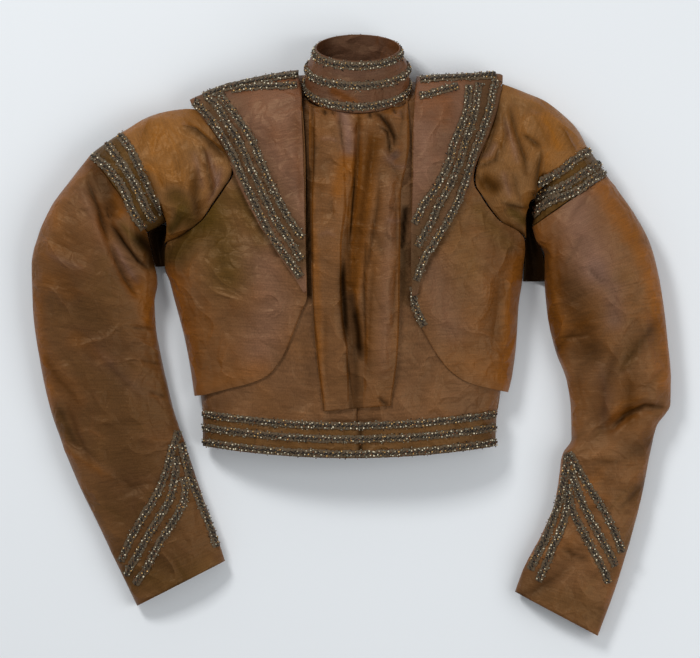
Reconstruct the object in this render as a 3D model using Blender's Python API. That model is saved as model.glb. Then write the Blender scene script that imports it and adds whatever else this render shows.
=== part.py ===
"""Beaded jacket of shot silk, laid on its back and lightly filled out.

Every piece is a thin closed shell. Plan positions are read on a draft grid of
1.1 mm squares (columns to the right, rows down toward the hem), heights are
millimetres above the surface the jacket lies on.
"""

import math

import bpy
import numpy as np

SQUARE = 1.1
CENTRE_COLUMN = 351.25
CHEST_ROW = 335.12
MM = 0.001

WALL = 1.5
FOUNDATION = (-1.5, 0.0)
OVERLAY = (1.3, 2.8)
REVERS = (4.6, 6.1)
REVERS_BRAID = (7.1, 8.6)
OVERLAY_BRAID = (3.6, 5.1)
BRAID_WIDTH = 7.0
SHOULDER_ROUND = 45.0
NECK_REACH = 13.0
PLEAT_STAND = 1.35
BACK_ROUND = 16.0

# Collar ring where it is sewn to the neck: plan centre and radii in squares, heights in mm.
NECK_COLUMN = 357.0
NECK_ROW = 92.0
NECK_ACROSS = 47.5
NECK_ALONG = 21.0
NECK_HEIGHT = 47.0
NECK_DEPTH = 41.0

# Neckline of the back: its middle row, radii and the reach over which it runs past the shoulders.
NAPE_ROW = 92.2
NAPE_ALONG = 22.4
NAPE_HALF = 52.0
NAPE_OPEN = 45.0
SHOULDER_GAP = 0.3
NECK_EASE = 1.5

# Front cuts: squares kept clear at the side seam by row, clear rows at the shoulder and the
# band, and squares across from the outer edge at which points lie.
SEAM_MARGIN = 2.4
MARGIN_ROWS = (0, 236, 252, 500)
MARGIN_SHARES = (1, 1, 0.02, 0.02)
SHOULDER_CLEAR = 0.03
PANEL_ROW_STEP = 1.2
REVERS_ROW_STEP = 1.6
BAND_CLEAR = 0.9
PANEL_SPOTS = (0.0, 0.6, 2.4, 5.5, 10.0, 17.0, 28.0)
PANEL_SPOTS_FULL = 60.0
PANEL_FAR_SPOTS = 5
REVERS_SPOTS = (0.0, 0.1, 0.2, 0.34, 0.5, 0.68, 0.85, 1.0)

# How the bolero's lower sides stand off: mm, squares in from the seam, rows and steepness.
FLARE_LEFT = 4.5
FLARE_RIGHT = 5.5
FLARE_REACH = 30.0
FLARE_START = 300.0
FLARE_ROWS = 90.0
FLARE_POWER = 1.5

# Back: row where it starts, rows down from there, shares across, squares kept at the seams.
BACK_START = 86.0
BACK_ROWS = (0, 3, 8, 14, 22, 34, 50, 68, 88, 108, 128, 144, 158, 176, 210, 250, 290, 322)
BACK_SPOTS = (0.0, 0.012, 0.03, 0.055, 0.12, 0.25, 0.4, 0.5)
BACK_MARGIN = 1.6
BACK_INSET = 0.5
BACK_LEFT_LAG = 3
BACK_EDGE_MOST = 26.0
BACK_EDGE_DROP = 1.0
BACK_SEAM_DROP = 3.5

# row, edge column, edge height in mm
LEFT_SIDE = (
    (60, 195, 26), (96, 190, 26), (101, 189, 27), (106, 192, 29), (110, 197.5, 32),
    (118, 203.5, 38), (127, 210.5, 45), (137, 217.5, 51), (148, 225, 56),
    (158, 229.5, 60), (168, 232.8, 62), (174, 232.3, 63), (190, 223, 60),
    (205, 212.5, 53), (220, 202, 44), (232, 188, 32), (239, 176, 24), (244, 167.5, 18),
    (266, 167, 13), (281, 172, 12), (300, 177, 12), (340, 188.7, 12), (375, 197, 12),
    (396, 201, 12), (410, 202.7, 12), (462, 202.7, 12),
)
RIGHT_SIDE = (
    (60, 503, 25), (76, 503.5, 26), (83, 501.5, 29), (95, 498.5, 34), (115, 494, 44),
    (133, 488, 52), (150, 481.5, 58), (166, 476.5, 62), (178, 474.5, 63),
    (186, 475.5, 62), (195, 481, 60), (210, 491, 52), (222, 501, 44), (228, 511, 36),
    (233, 520, 28), (239, 524.5, 20), (250, 523, 15), (266, 521, 13), (281, 519.8, 12),
    (300, 516.8, 12), (340, 512.6, 12), (375, 506, 12), (396, 499.5, 12),
    (410, 497, 12), (462, 494.8, 12),
)
# row, crown height in mm, squareness across, roundness at the sides
CROWN = (
    (60, 70, 2.2, 1.0), (100, 84, 2.2, 1.0), (130, 88, 2.2, 1.0), (172, 88, 2.4, 1.0),
    (205, 87.6, 2.5, 1.0), (235, 86.4, 2.7, 1.2), (262, 84.2, 3.0, 1.75), (300, 80, 3.2, 2.0),
    (340, 73, 3.2, 2.0),
    (375, 66, 3.2, 2.0), (396, 63, 3.2, 2.0), (462, 60, 3.2, 2.0),
)
# column, row of the shoulder line, height in mm
SHOULDER = (
    (170, 112, 26), (190, 105, 26), (200, 101, 26), (212, 95.5, 26), (225, 90.5, 26),
    (240, 86.5, 26), (260, 82.5, 26), (280, 78, 24), (303, 75, 21), (324, 74, 16),
    (357, 73, 7), (390, 78.5, 16), (410, 82, 21), (440, 80.5, 25), (460, 80, 26),
    (480, 79, 26), (520, 79, 26),
)

# inner column, inner row, outer row, bow
FRONT_LEFT = (
    (301, 76.5, 104, 6), (301, 80, 108, 5), (301.5, 87, 113, 4), (303, 94.5, 119, 3),
    (309.5, 103, 127, 2), (320.5, 108.5, 137, 1), (333, 112.6, 148, 0), (346, 114.9, 159, 0),
    (356.6, 121, 169, 0), (356.6, 150, 181, 0), (356.6, 178, 194, 0), (356.6, 203, 209, 0),
    (356.6, 226, 223, 0), (356.6, 246, 235, 0), (356.6, 264, 246, 0), (356.6, 288, 268, 0),
    (356.6, 318, 304, 0), (356.6, 352, 340, 0), (356.6, 388, 375, 0), (356.6, 408, 394, 0),
    (356.6, 420.5, 408.6, -3),
)
FRONT_RIGHT = (
    (414, 85, 79.6, 0), (414, 89, 85, 0), (413, 94, 92, 0), (409.5, 100, 100, 0),
    (401, 105.5, 110, 0), (390, 110.2, 122, 0), (379, 113.2, 136, 0), (368, 115, 149, 0),
    (357.4, 121, 161, 0), (357.4, 150, 173, 0), (357.4, 176, 184, 0), (357.4, 199, 197, 0),
    (357.4, 221, 211, 0), (357.4, 240, 223, 0), (357.4, 256, 232, 0), (357.4, 272, 241, 0),
    (357.4, 292, 268, 0), (357.4, 320, 304, 0), (357.4, 354, 340, 0), (357.4, 388, 375, 0),
    (357.4, 408, 393, 0), (357.4, 420.5, 407.6, -3),
)
BOLERO_LEFT = (
    (298.5, 76.5, 104, 6), (298.5, 80, 108, 5), (298.5, 88, 113, 4), (300, 99, 121, 3),
    (303, 113, 132, 1.5), (304.5, 130, 145, 0), (305.5, 150, 158, 0), (306, 168, 171, 0),
    (306, 188, 185, 0), (306, 207, 201, 0), (306, 226, 217, 0), (306, 244, 232, 0),
    (306, 262, 245, 0), (307, 280, 264, 0), (307, 297, 283, 0), (302, 310, 301, 0),
    (296, 326, 319, 0), (289, 343, 337, 0), (280, 361, 354, 0), (268, 375, 369, 0),
    (250, 383, 381, 0), (229, 388.5, 389, 0), (207, 394.5, 395, 0),
)
BOLERO_RIGHT = (
    (416, 84, 80, 0), (416, 88, 86, 0), (416, 95, 94, 0), (415, 104, 104, 0),
    (413, 116, 116, 0), (412, 130, 130, 0), (411.5, 145, 145, 0), (411.5, 160, 160, 0),
    (411, 175, 174, 0), (411, 191, 186, 0), (411, 207, 199, 0), (411, 222, 212, 0),
    (411, 237, 223, 0), (411, 251, 233, 0), (411, 265, 242, 0), (411, 281, 258, 0),
    (411.5, 298, 278, 0), (415, 313, 299, 0), (420.5, 326, 319, 0), (428.5, 341, 337, 0),
    (437, 355, 353, 0), (449, 370, 367, 0), (464, 380.5, 379, 0), (481, 386, 386, 0),
    (498, 389.5, 390, 0),
)
# inner column, inner row, outer column, outer row
REVERS_LEFT = (
    (297, 75.8, 191.5, 105), (297, 80, 194.5, 108.5), (297.5, 88, 200, 113),
    (300, 99, 207, 122), (302, 113, 215, 134), (303, 130, 223.5, 148),
    (304, 150, 232, 164), (304.5, 172, 240.5, 185), (305, 193, 251, 206),
    (305.2, 213, 262, 227.5), (305.5, 233, 274, 246.5), (306, 254, 286, 265),
    (306.5, 274, 297, 281), (306.8, 292, 304.3, 293),
)
REVERS_RIGHT = (
    (417, 84, 502.5, 80), (417, 88.5, 500.5, 87), (416, 96, 498, 96), (414, 107, 495.5, 108),
    (412.5, 121, 491, 122), (412, 137, 485.5, 137), (412, 155, 478.5, 153),
    (412, 172, 472.5, 168), (411.5, 190, 467.5, 185), (411, 207, 459.5, 203),
    (410.5, 224, 450.5, 220), (410.2, 241, 440, 237), (410.2, 258, 429, 255),
    (410.7, 276, 421.5, 274), (411.3, 296, 416.5, 295),
)

# Plastron: column of each fold line at each row, and how high it stands in mm.
PLASTRON_ROWS = (108, 150, 200, 250, 300, 355, 405)
PLASTRON_FOLDS = {
    "left edge": ((309.5, 309.5, 310, 311, 312.5, 317, 323), (0, 0, 0, 0, 0, 0, 0)),
    "strip": ((314, 313.5, 312.5, 312.2, 313.3, 318, 324), (0.6, 0.6, 0.5, 0.3, 0.3, 0.3, 0.3)),
    "lip": ((316.5, 315, 314, 313.8, 315, 320, 325.5), (3, 3.2, 3.2, 3.2, 3.0, 2.6, 1.8)),
    "flat pleat": ((341, 342, 343, 339.5, 340, 346, 347), (3, 3.2, 3.4, 3.8, 3.6, 3.0, 1.8)),
    "step": ((344, 346, 347, 341.5, 342, 348.5, 349.5), (2.2, 2, 1.2, 0.8, 0.5, 0.6, 0.5)),
    "under pleat": ((355, 353, 350, 345, 346, 351, 352), (2, 1.8, 0.8, 0.4, 0.3, 0.4, 0.4)),
    "groove": ((358.5, 358, 354.5, 349, 352, 355, 356), (0.3, 0.2, 0.1, 0.1, 0.1, 0.2, 0.3)),
    "slope": ((366, 364, 360, 357, 360, 363, 362), (1.5, 2.5, 2, 1.5, 1.2, 1, 0.6)),
    "rise": ((376, 374, 372, 370, 372.5, 368.5, 366), (4, 6, 6.5, 5.5, 5, 4, 2)),
    "crest": ((388, 390, 386, 383, 384, 382, 378), (4.5, 7.5, 7.5, 6, 5.5, 4.2, 2.2)),
    "fold": ((403, 405, 398, 397.5, 397.5, 395.5, 389), (1.5, 3, 4, 3.5, 3, 2.4, 1.4)),
    "right edge": ((407, 409, 400.5, 400, 399.5, 397.5, 391), (0, 0, 0, 0, 0, 0, 0)),
}
PLASTRON_LINES = (0, 2.5, 7, 14, 25, 42, 62, 82, 105, 130, 158, 186, 214, 242, 268, 290)
PLASTRON_TOP = 112.0
PLASTRON_RUN = 296.0
PLASTRON_NECK_CLEAR = 2.0
PLASTRON_NECK_DROP = 8.0
PLASTRON_DROP_FROM = 0.72
PLASTRON_HEM = 411.0
PLASTRON_HEM_RISE = 6.0
PLASTRON_HEM_LEFT = 323.0
PLASTRON_HEM_WIDTH = 68.0
PLASTRON_FLAT = 1.5
PLASTRON_FILL = 10.0
GATHER_FROM = 0.93
GATHER_LOSS = 0.5

# Braid rows sewn on the revers, as plan points along their centre lines.
BRAIDS_ON_REVERS = {
    "revers_left_braid_outer": ((199, 111.5), (207, 122), (216, 136), (228, 153), (238, 171),
                                (249, 192), (261, 214), (274, 236), (287, 256), (298, 275),
                                (302.5, 282.5)),
    "revers_left_braid_middle": ((210, 101), (219, 114), (231, 133), (244, 154), (257, 177),
                                 (269, 199), (283, 222), (296, 243), (301.5, 251.5)),
    "revers_left_braid_inner": ((222, 97), (231, 110), (244, 129), (256, 151), (266, 172),
                                (278, 193), (290, 213), (298, 226), (302, 232)),
    "revers_right_braid_outer": ((497, 85), (491.5, 104), (486.5, 120), (480, 136),
                                 (473.5, 151), (467.5, 166), (463, 181), (455.5, 199),
                                 (446.5, 216), (436, 232), (426, 249), (419, 266),
                                 (416.2, 281)),
    "revers_right_braid_middle": ((483.5, 85), (479, 100), (474, 116), (469, 131), (463, 146),
                                  (457, 161), (451.5, 177), (443.5, 193), (433.5, 209),
                                  (424, 224.5), (417, 238)),
    "revers_right_braid_inner": ((469.5, 87), (466.5, 100), (462, 115), (456, 131), (450, 147),
                                 (445, 162), (438.5, 176), (430, 192), (421, 206),
                                 (416, 215)),
}
BRAIDS_ON_SHOULDER = {
    "shoulder_left_braid_top": ((232, 90.3), (246, 87.2), (262, 84), (280, 79.8), (296, 77.6)),
    "shoulder_left_braid_low": ((234, 101), (250, 98), (266, 95), (282, 91.5), (295, 89)),
    "shoulder_right_braid_top": ((421, 83.3), (435, 82.6), (447, 82.2), (461, 82)),
    "shoulder_right_braid_low": ((421, 96.5), (434, 95.5), (447, 94), (458.5, 93)),
}
BOLERO_BRAID = ((415.5, 301), (417.5, 308), (420.6, 316), (424.5, 324))

# Waistband: rows of its top and bottom edges at the sides, and how far the middle dips.
BAND_TOP = 409.4
BAND_BOTTOM = 445.5
BAND_DIP = 12.5
BAND_MIDDLE = 350.0
BAND_HALF = 149.0
BAND_EDGE = 12.0
BAND_SQUARE = 3.2
BAND_LIFT = 1.8
BAND_LEVELS = (0.0, 0.33, 0.66, 1.0)
BAND_TOPS = 21
BAND_UNDERS = (0.985, 0.955, 0.9, 0.7, 0.5, 0.3, 0.1, 0.045, 0.015)
WAIST_BRAIDS = {"waist_braid_top": 0.1, "waist_braid_middle": 0.47, "waist_braid_bottom": 0.88}
WAIST_BRAID = (2.6, 4.2)
WAIST_BRAID_HALF = 0.09
WAIST_BRAID_REACH = 140.0
WAIST_BRAID_TURN = 1.4
WAIST_BRAID_SPOTS = 17

# Collar: share of its height, half width in squares there.
COLLAR_UP = (0, 0.3, 0.5, 0.7, 0.85, 1)
COLLAR_HALF = (51, 51.2, 50.4, 46.8, 43.8, 41.5)
# Base and top of the collar: half length in squares, half rise in mm, middle row, middle height.
COLLAR_BASE = (22.4, 44.6, 91.0, 47.6)
COLLAR_TOP = (13.5, 40.0, 48.0, 49.2)
COLLAR_LEAN = 0.8
COLLAR_REACH = 47.0
COLLAR_LAYER = (-0.7, 0.9)
COLLAR_LEVELS = (0.0, 0.22, 0.45, 0.65, 0.82, 1.0)
COLLAR_TURNS = 32
COLLAR_BRAID = (1.6, 3.1)
COLLAR_BRAID_HALF = 0.062
COLLAR_BRAIDS = {"collar_braid_base": 0.12, "collar_braid_middle": 0.52, "collar_braid_top": 0.9}

# Body braids: widths in squares, height of their middle ridge in mm, longest step in squares.
SHOULDER_BRAID_WIDTH = 6.4
BOLERO_BRAID_WIDTH = 5.6
BRAID_CREST = 0.4
BRAID_STEP = 15.0
BRAID_CLEAR = 0.05

# Sleeves: outer point, inner point, height, edge height, share of the armhole curve.
PUFF_LEFT = (
    (197, 109.5, 164.5, 242.5, 64, 22, 1.0), (188, 109, 165, 242, 67, 22, 0.86),
    (176, 110, 165.5, 239, 68, 22, 0.62), (160, 113, 166, 235, 67, 21, 0.38),
    (143, 119.5, 166.5, 230, 65, 20, 0.18), (129, 128, 167, 225, 62, 20, 0.05),
    (119.5, 133.5, 167, 221, 57, 20, 0.0),
)
PUFF_RIGHT = (
    (502, 84, 526, 238, 64, 22, 1.0), (512, 87.5, 526, 236, 67, 22, 0.86),
    (526, 93, 526, 230, 68, 22, 0.62), (544, 100.5, 526, 222, 67, 21, 0.4),
    (562, 114, 526.5, 213, 65, 20, 0.2), (577, 129, 528, 204, 62, 20, 0.07),
    (588, 148.5, 534, 194.6, 57, 20, 0.0),
)
BAND_LEFT = (
    (119, 133.9, 166.6, 221.6, 57, 20), (105, 143.5, 157, 227, 57, 20),
    (91, 154, 147.4, 231.8, 56, 20),
)
BAND_RIGHT = (
    (588.3, 149, 535, 195.8, 57, 20), (598, 162, 534.5, 211, 57, 20), (606, 174.5, 532, 226, 56, 20),
)
SLEEVE_LEFT = (
    (90.7, 154.4, 147, 232.2, 56, 20), (73, 177, 150.5, 247, 60, 20), (52, 206, 155, 266, 60, 20),
    (38, 236, 157.5, 284, 58, 19), (31.5, 266, 154.5, 303, 55, 18), (33, 312, 156, 329, 52, 17),
    (40, 362, 163, 366, 48, 16), (50, 408, 173, 408, 45, 15), (64, 448, 183.5, 440, 42, 14),
    (78, 483, 193, 468, 40, 14), (96, 520, 202, 495, 37, 13), (115, 560, 213, 525, 34, 12),
    (137, 606, 225, 561, 31, 11),
)
SLEEVE_RIGHT = (
    (606.6, 175.6, 532.2, 227.2, 56, 20), (619, 192, 536, 240, 60, 20), (637, 218, 545, 256, 60, 20),
    (651, 246, 545, 282, 57, 19), (661, 288, 547, 312, 54, 18), (667.5, 338, 555, 349, 51, 17),
    (671, 378, 567, 382, 48, 16), (670.5, 404, 571, 411, 46, 15), (656.5, 427, 571.5, 438, 43, 14),
    (650.5, 452, 562.5, 455, 42, 14), (641, 500, 556, 498, 39, 13), (630, 540, 541, 536, 36, 12),
    (617, 584, 523, 570, 33, 12), (598, 636, 515, 592, 31, 11),
)
ARM_BRAIDS = {"top": 0.14, "middle": 0.5, "low": 0.86}
ARM_BRAID = (0.7, 2.3)
ARM_BRAID_HALF = 0.21
ARM_BRAID_TURN = 0.16
ARM_BRAID_SPOTS = 13
CUFF_BRAID = (0.9, 2.5)
CUFF_BRAID_HALF = 3.1
# Roundness over the top of a sleeve, how it sinks to the surface below, and its seam's gap.
SLEEVE_ROUND = 0.8
SLEEVE_LOW = 0.86
SLEEVE_LOW_ROUND = 0.7
SLEEVE_GAP = 0.4
SLEEVE_SEAM_LIFT = 1.6
SLEEVE_UNDER_CURVE = 0.8
ARMHOLE_STEEP = 40
SLEEVE_TOPS = 13
SLEEVE_UNDERS = 5
SLEEVE_HALF_STEPS = 4
# How far along the sleeve fold lines sink, in plan points, depth in mm and half width in squares.
SLEEVE_FOLDS = {
    "left": (((106, 222), (114, 243), (124, 266), (134, 284), 7.0, 9.0),),
    "right": (((612, 426), (624, 416), (640, 410), (668, 408), 7.0, 6.0),),
}
CUFF_BRAIDS = {
    "cuff_left_braid_1": ((173.5, 446), (170, 460), (163.5, 481), (153.5, 500), (143.5, 516),
                          (135, 531), (127.5, 547), (122.5, 559)),
    "cuff_left_braid_2": ((178, 478), (173, 496), (163, 514), (153, 530), (144, 546),
                          (134, 562), (129.5, 570)),
    "cuff_left_braid_3": ((186, 492), (181, 508), (173, 523), (164, 538), (155.5, 553),
                          (147, 569), (139, 581)),
    "cuff_left_braid_4": ((184.5, 458), (188.5, 474), (194, 489), (200.5, 505), (207, 521),
                          (213, 537)),
    "cuff_right_braid_1": ((573, 468), (583, 482), (593, 497), (602, 512), (610, 526),
                           (616, 540), (620.5, 551)),
    "cuff_right_braid_2": ((576, 492), (583, 508), (592, 523), (600, 538), (608, 553),
                           (613, 566)),
    "cuff_right_braid_3": ((573.5, 513), (579, 526), (587, 541), (595, 556), (602, 570),
                           (607, 582)),
    "cuff_right_braid_4": ((566, 466), (565, 484), (560.5, 503), (554, 522), (546.5, 541),
                           (537, 559)),
    "cuff_right_braid_5": ((568, 508), (563.5, 524), (557, 541), (548.5, 559), (542, 571)),
}

# Low scraps of cloth under each arm: row, inner column, outer column.
UNDERARM_LEFT = (
    (226, 160.4, 165.2), (230, 152.6, 165.2), (234, 148.9, 165), (241, 150.2, 164.2),
    (248, 152, 164.6), (257, 154, 164.4), (266.5, 156.4, 164.2),
)
UNDERARM_RIGHT = (
    (202, 530, 534), (212, 527.4, 533.6), (222, 526.8, 532), (231, 526.8, 532),
    (239, 526.2, 535), (250, 524, 540.6), (262, 525.2, 543.6), (272, 524.6, 544.2),
    (281.5, 523.8, 544.6),
)
UNDERARM_LOW = 3.0
UNDERARM_SAG = 0.9
UNDERARM_LAYER = (-0.4, 0.8)
UNDERARM_BODY_HIGH = 14.0
UNDERARM_ARM_HIGH = 18.0
UNDERARM_SPOTS = 5

# Small step in squares by which slopes are measured.
NUDGE = 0.04

# colour, roughness
SILK = ((0.200, 0.115, 0.075), 0.42)
SILK_BRONZE = ((0.235, 0.120, 0.050), 0.38)
SILK_DARK = ((0.130, 0.075, 0.042), 0.45)
SILK_MAUVE = ((0.170, 0.092, 0.072), 0.42)
BEADS = ((0.190, 0.165, 0.130), 0.30)


def eased(keys, values, at):
    """Read a table between its rows with a smooth curve that never overshoots."""
    keys = np.asarray(keys, float)
    values = np.asarray(values, float)
    at = np.asarray(at, float)
    steps = np.diff(keys)
    slopes = np.diff(values) / steps
    before = slopes[:-1]
    after = slopes[1:]
    product = before * after
    total = np.where(product > 0, before + after, 1.0)
    middle = np.where(product > 0, 2.0 * product / total, 0.0)
    tangents = np.concatenate(([slopes[0]], middle, [slopes[-1]]))
    spot = np.clip(np.searchsorted(keys, at) - 1, 0, len(keys) - 2)
    part = np.clip((at - keys[spot]) / steps[spot], 0.0, 1.0)
    square = part * part
    cube = square * part
    return (
        (2 * cube - 3 * square + 1) * values[spot]
        + (cube - 2 * square + part) * steps[spot] * tangents[spot]
        + (3 * square - 2 * cube) * values[spot + 1]
        + (cube - square) * steps[spot] * tangents[spot + 1]
    )


def read(table, column, at):
    """Read one column of a table by its first column."""
    rows = np.asarray([row[:] for row in table], float)
    return eased(rows[:, 0], rows[:, column], at)


def place(column, row, height):
    """Turn draft squares and mm of height into mm about the jacket's middle."""
    column, row, height = np.broadcast_arrays(column, row, height)
    across = (column - CENTRE_COLUMN) * SQUARE
    along = (CHEST_ROW - row) * SQUARE
    return np.stack((across, along, height), axis=-1)


def shell_height(column, row):
    """Height of the jacket's upper side before the neck is drawn in."""
    left = read(LEFT_SIDE, 1, row)
    right = read(RIGHT_SIDE, 1, row)
    middle = (left + right) / 2.0
    reach = (right - left) / 2.0
    share = np.clip((column - middle) / reach, -1.0, 1.0)
    edge = np.where(share < 0, read(LEFT_SIDE, 2, row), read(RIGHT_SIDE, 2, row))
    square = read(CROWN, 2, row)
    roundness = read(CROWN, 3, row)
    swell = (1.0 - np.abs(share) ** square) ** (1.0 / roundness)
    full = edge + (read(CROWN, 1, row) - edge) * swell
    depth = row - read(SHOULDER, 1, column)
    rise = np.sqrt(1.0 - (1.0 - np.clip(depth / SHOULDER_ROUND, 0.0, 1.0)) ** 2)
    seam = read(SHOULDER, 2, column)
    return seam + (full - seam) * rise


def front_height(column, row):
    """Height of the jacket's upper side, drawn in to the neck ring."""
    column, row = np.broadcast_arrays(np.asarray(column, float), np.asarray(row, float))
    across = (column - NECK_COLUMN) / NECK_ACROSS
    along = (row - NECK_ROW) / NECK_ALONG
    turn = np.maximum(np.hypot(across, along), 1e-6)
    ring_column = NECK_COLUMN + NECK_ACROSS * across / turn
    ring_row = NECK_ROW + NECK_ALONG * along / turn
    ring_height = NECK_HEIGHT + NECK_DEPTH * along / turn
    gap = np.hypot(column - ring_column, row - ring_row)
    pull = np.exp(-((gap / NECK_REACH) ** 2))
    return shell_height(column, row) + (ring_height - shell_height(ring_column, ring_row)) * pull


def upward(height, column, row):
    """Unit normals of a surface whose height is a function of the plan."""
    across = place(column + NUDGE, row, height(column + NUDGE, row))
    across = across - place(column - NUDGE, row, height(column - NUDGE, row))
    down = place(column, row + NUDGE, height(column, row + NUDGE))
    down = down - place(column, row - NUDGE, height(column, row - NUDGE))
    normal = np.cross(down, across)
    return normal / np.linalg.norm(normal, axis=-1, keepdims=True)


def lifted(height, column, row, lift):
    """Points of a surface moved out along its normal by a number of mm."""
    normal = upward(height, column, row)
    return place(column, row, height(column, row)) + normal * np.asarray(lift)[..., None]


def material(name, look):
    colour, roughness = look
    made = bpy.data.materials.new(name)
    made.use_nodes = True
    shader = made.node_tree.nodes["Principled BSDF"]
    shader.inputs["Base Color"].default_value = (*colour, 1.0)
    shader.inputs["Roughness"].default_value = roughness
    shader.inputs["Metallic"].default_value = 0.0
    made.diffuse_color = (*colour, 1.0)
    return made


def close_shell(name, outer, inner, look, wrapped=False):
    """Make one closed body from two matching grids of points in mm."""
    rows, columns = outer.shape[:2]
    points = np.concatenate((outer.reshape(-1, 3), inner.reshape(-1, 3))) * MM
    back = rows * columns
    faces = []
    turns = columns if wrapped else columns - 1
    for row in range(rows - 1):
        for column in range(turns):
            beside = (column + 1) % columns
            a = row * columns + column
            b = row * columns + beside
            c = (row + 1) * columns + beside
            d = (row + 1) * columns + column
            faces.append((a, b, c, d))
            faces.append((back + d, back + c, back + b, back + a))
    for column in range(turns):
        beside = (column + 1) % columns
        last = (rows - 1) * columns
        faces.append((column, back + column, back + beside, beside))
        faces.append((last + column, last + beside, back + last + beside, back + last + column))
    if not wrapped:
        for row in range(rows - 1):
            a = row * columns
            b = (row + 1) * columns
            faces.append((a, b, back + b, back + a))
            a += columns - 1
            b += columns - 1
            faces.append((a, back + a, back + b, b))
    signed = 0.0
    for face in faces:
        for near, far in zip(face[1:-1], face[2:]):
            signed += np.dot(points[face[0]], np.cross(points[near], points[far]))
    if signed < 0:
        faces = [tuple(reversed(face)) for face in faces]
    mesh = bpy.data.meshes.new(name)
    mesh.from_pydata([tuple(point) for point in points], [], faces)
    mesh.polygons.foreach_set("use_smooth", [True] * len(mesh.polygons))
    mesh.materials.append(material(name, look))
    made = bpy.data.objects.new(name, mesh)
    bpy.context.collection.objects.link(made)
    return made


def across_steps(length):
    """Places across a panel from its outer edge, close together where it turns down."""
    near = np.array(PANEL_SPOTS) * min(1.0, length / PANEL_SPOTS_FULL)
    far = np.linspace(near[-1], length, PANEL_FAR_SPOTS)[1:]
    return np.concatenate((near, far)) / length


def body_panel(name, rows, side, layer, look, flare=0.0, to_band=False):
    """A front cut between the side seam and its inner edge."""
    margin = SEAM_MARGIN if side is LEFT_SIDE else -SEAM_MARGIN
    columns = []
    lines = []
    for index, (inner_column, inner_row, outer_row, bow) in enumerate(rows):
        seam = float(read(side, 1, outer_row))
        spread = float(eased(MARGIN_ROWS, MARGIN_SHARES, outer_row))
        outer_column = seam + margin * spread
        part = across_steps(abs(outer_column - inner_column))
        column = outer_column + (inner_column - outer_column) * part
        line = outer_row + (inner_row - outer_row) * part - bow * 4 * part * (1 - part)
        lowest = read(SHOULDER, 1, column) + SHOULDER_CLEAR + PANEL_ROW_STEP * index
        if to_band and index == len(rows) - 1:
            line = band_row(column, 0.0) - BAND_CLEAR
        columns.append(column)
        lines.append(np.maximum(line, lowest) if index else lowest)
    column = np.array(columns)
    line = np.array(lines)
    low, high = layer
    edge = read(side, 1, line)
    near = np.clip(1.0 - np.abs(column - edge) / FLARE_REACH, 0.0, 1.0) ** 2
    down = np.clip((line - FLARE_START) / FLARE_ROWS, 0.0, 1.0) ** FLARE_POWER
    extra = flare * near * down
    outer = lifted(front_height, column, line, high + extra)
    inner = lifted(front_height, column, line, low + extra)
    return close_shell(name, outer, inner, look)


def revers_panel(name, rows, look):
    """A wide lapel lying over the shoulder and the bolero front."""
    part = np.array(REVERS_SPOTS)
    columns = []
    lines = []
    for index, (inner_column, inner_row, outer_column, outer_row) in enumerate(rows):
        column = outer_column + (inner_column - outer_column) * part
        line = outer_row + (inner_row - outer_row) * part
        lowest = read(SHOULDER, 1, column) + SHOULDER_CLEAR + REVERS_ROW_STEP * index
        columns.append(column)
        lines.append(np.maximum(line, lowest) if index else lowest)
    column = np.array(columns)
    line = np.array(lines)
    outer = lifted(front_height, column, line, np.full(column.shape, REVERS[1]))
    inner = lifted(front_height, column, line, np.full(column.shape, REVERS[0]))
    return close_shell(name, outer, inner, look)


def neck_line(column):
    """Row of the front neckline at a column."""
    share = np.clip((column - NECK_COLUMN) / (NECK_ACROSS + NECK_EASE), -1.0, 1.0)
    return NECK_ROW + NECK_ALONG * np.sqrt(1.0 - share * share)


def plastron_panel(name, look):
    """The pleated front, from the neckline to the waistband."""
    names = list(PLASTRON_FOLDS)
    columns = []
    lines = []
    lifts = []
    for down in PLASTRON_LINES:
        share = down / PLASTRON_LINES[-1]
        at = PLASTRON_TOP + PLASTRON_RUN * share
        column = np.array([eased(PLASTRON_ROWS, PLASTRON_FOLDS[key][0], at) for key in names])
        stand = np.array([eased(PLASTRON_ROWS, PLASTRON_FOLDS[key][1], at) for key in names])
        aside = np.abs(column - NECK_COLUMN) / NECK_ACROSS
        slope = np.clip((aside - PLASTRON_DROP_FROM) / (1.0 - PLASTRON_DROP_FROM), 0.0, 1.2)
        start = neck_line(column) + PLASTRON_NECK_CLEAR + PLASTRON_NECK_DROP * slope
        tilt = (column - PLASTRON_HEM_LEFT) / PLASTRON_HEM_WIDTH
        finish = PLASTRON_HEM - PLASTRON_HEM_RISE * tilt
        line = start + (finish - start) * share
        flat = min(1.0, max(0.0, (down - PLASTRON_FLAT) / PLASTRON_FILL))
        gather = 1.0 - GATHER_LOSS * max(0.0, (share - GATHER_FROM) / (1.0 - GATHER_FROM))
        columns.append(column)
        lines.append(line)
        lifts.append(PLEAT_STAND * stand * flat * gather)
    column = np.array(columns)
    line = np.array(lines)
    lift = np.array(lifts)
    outer = lifted(front_height, column, line, OVERLAY[1] + lift)
    inner = lifted(front_height, column, line, OVERLAY[0] + lift)
    return close_shell(name, outer, inner, look)


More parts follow.
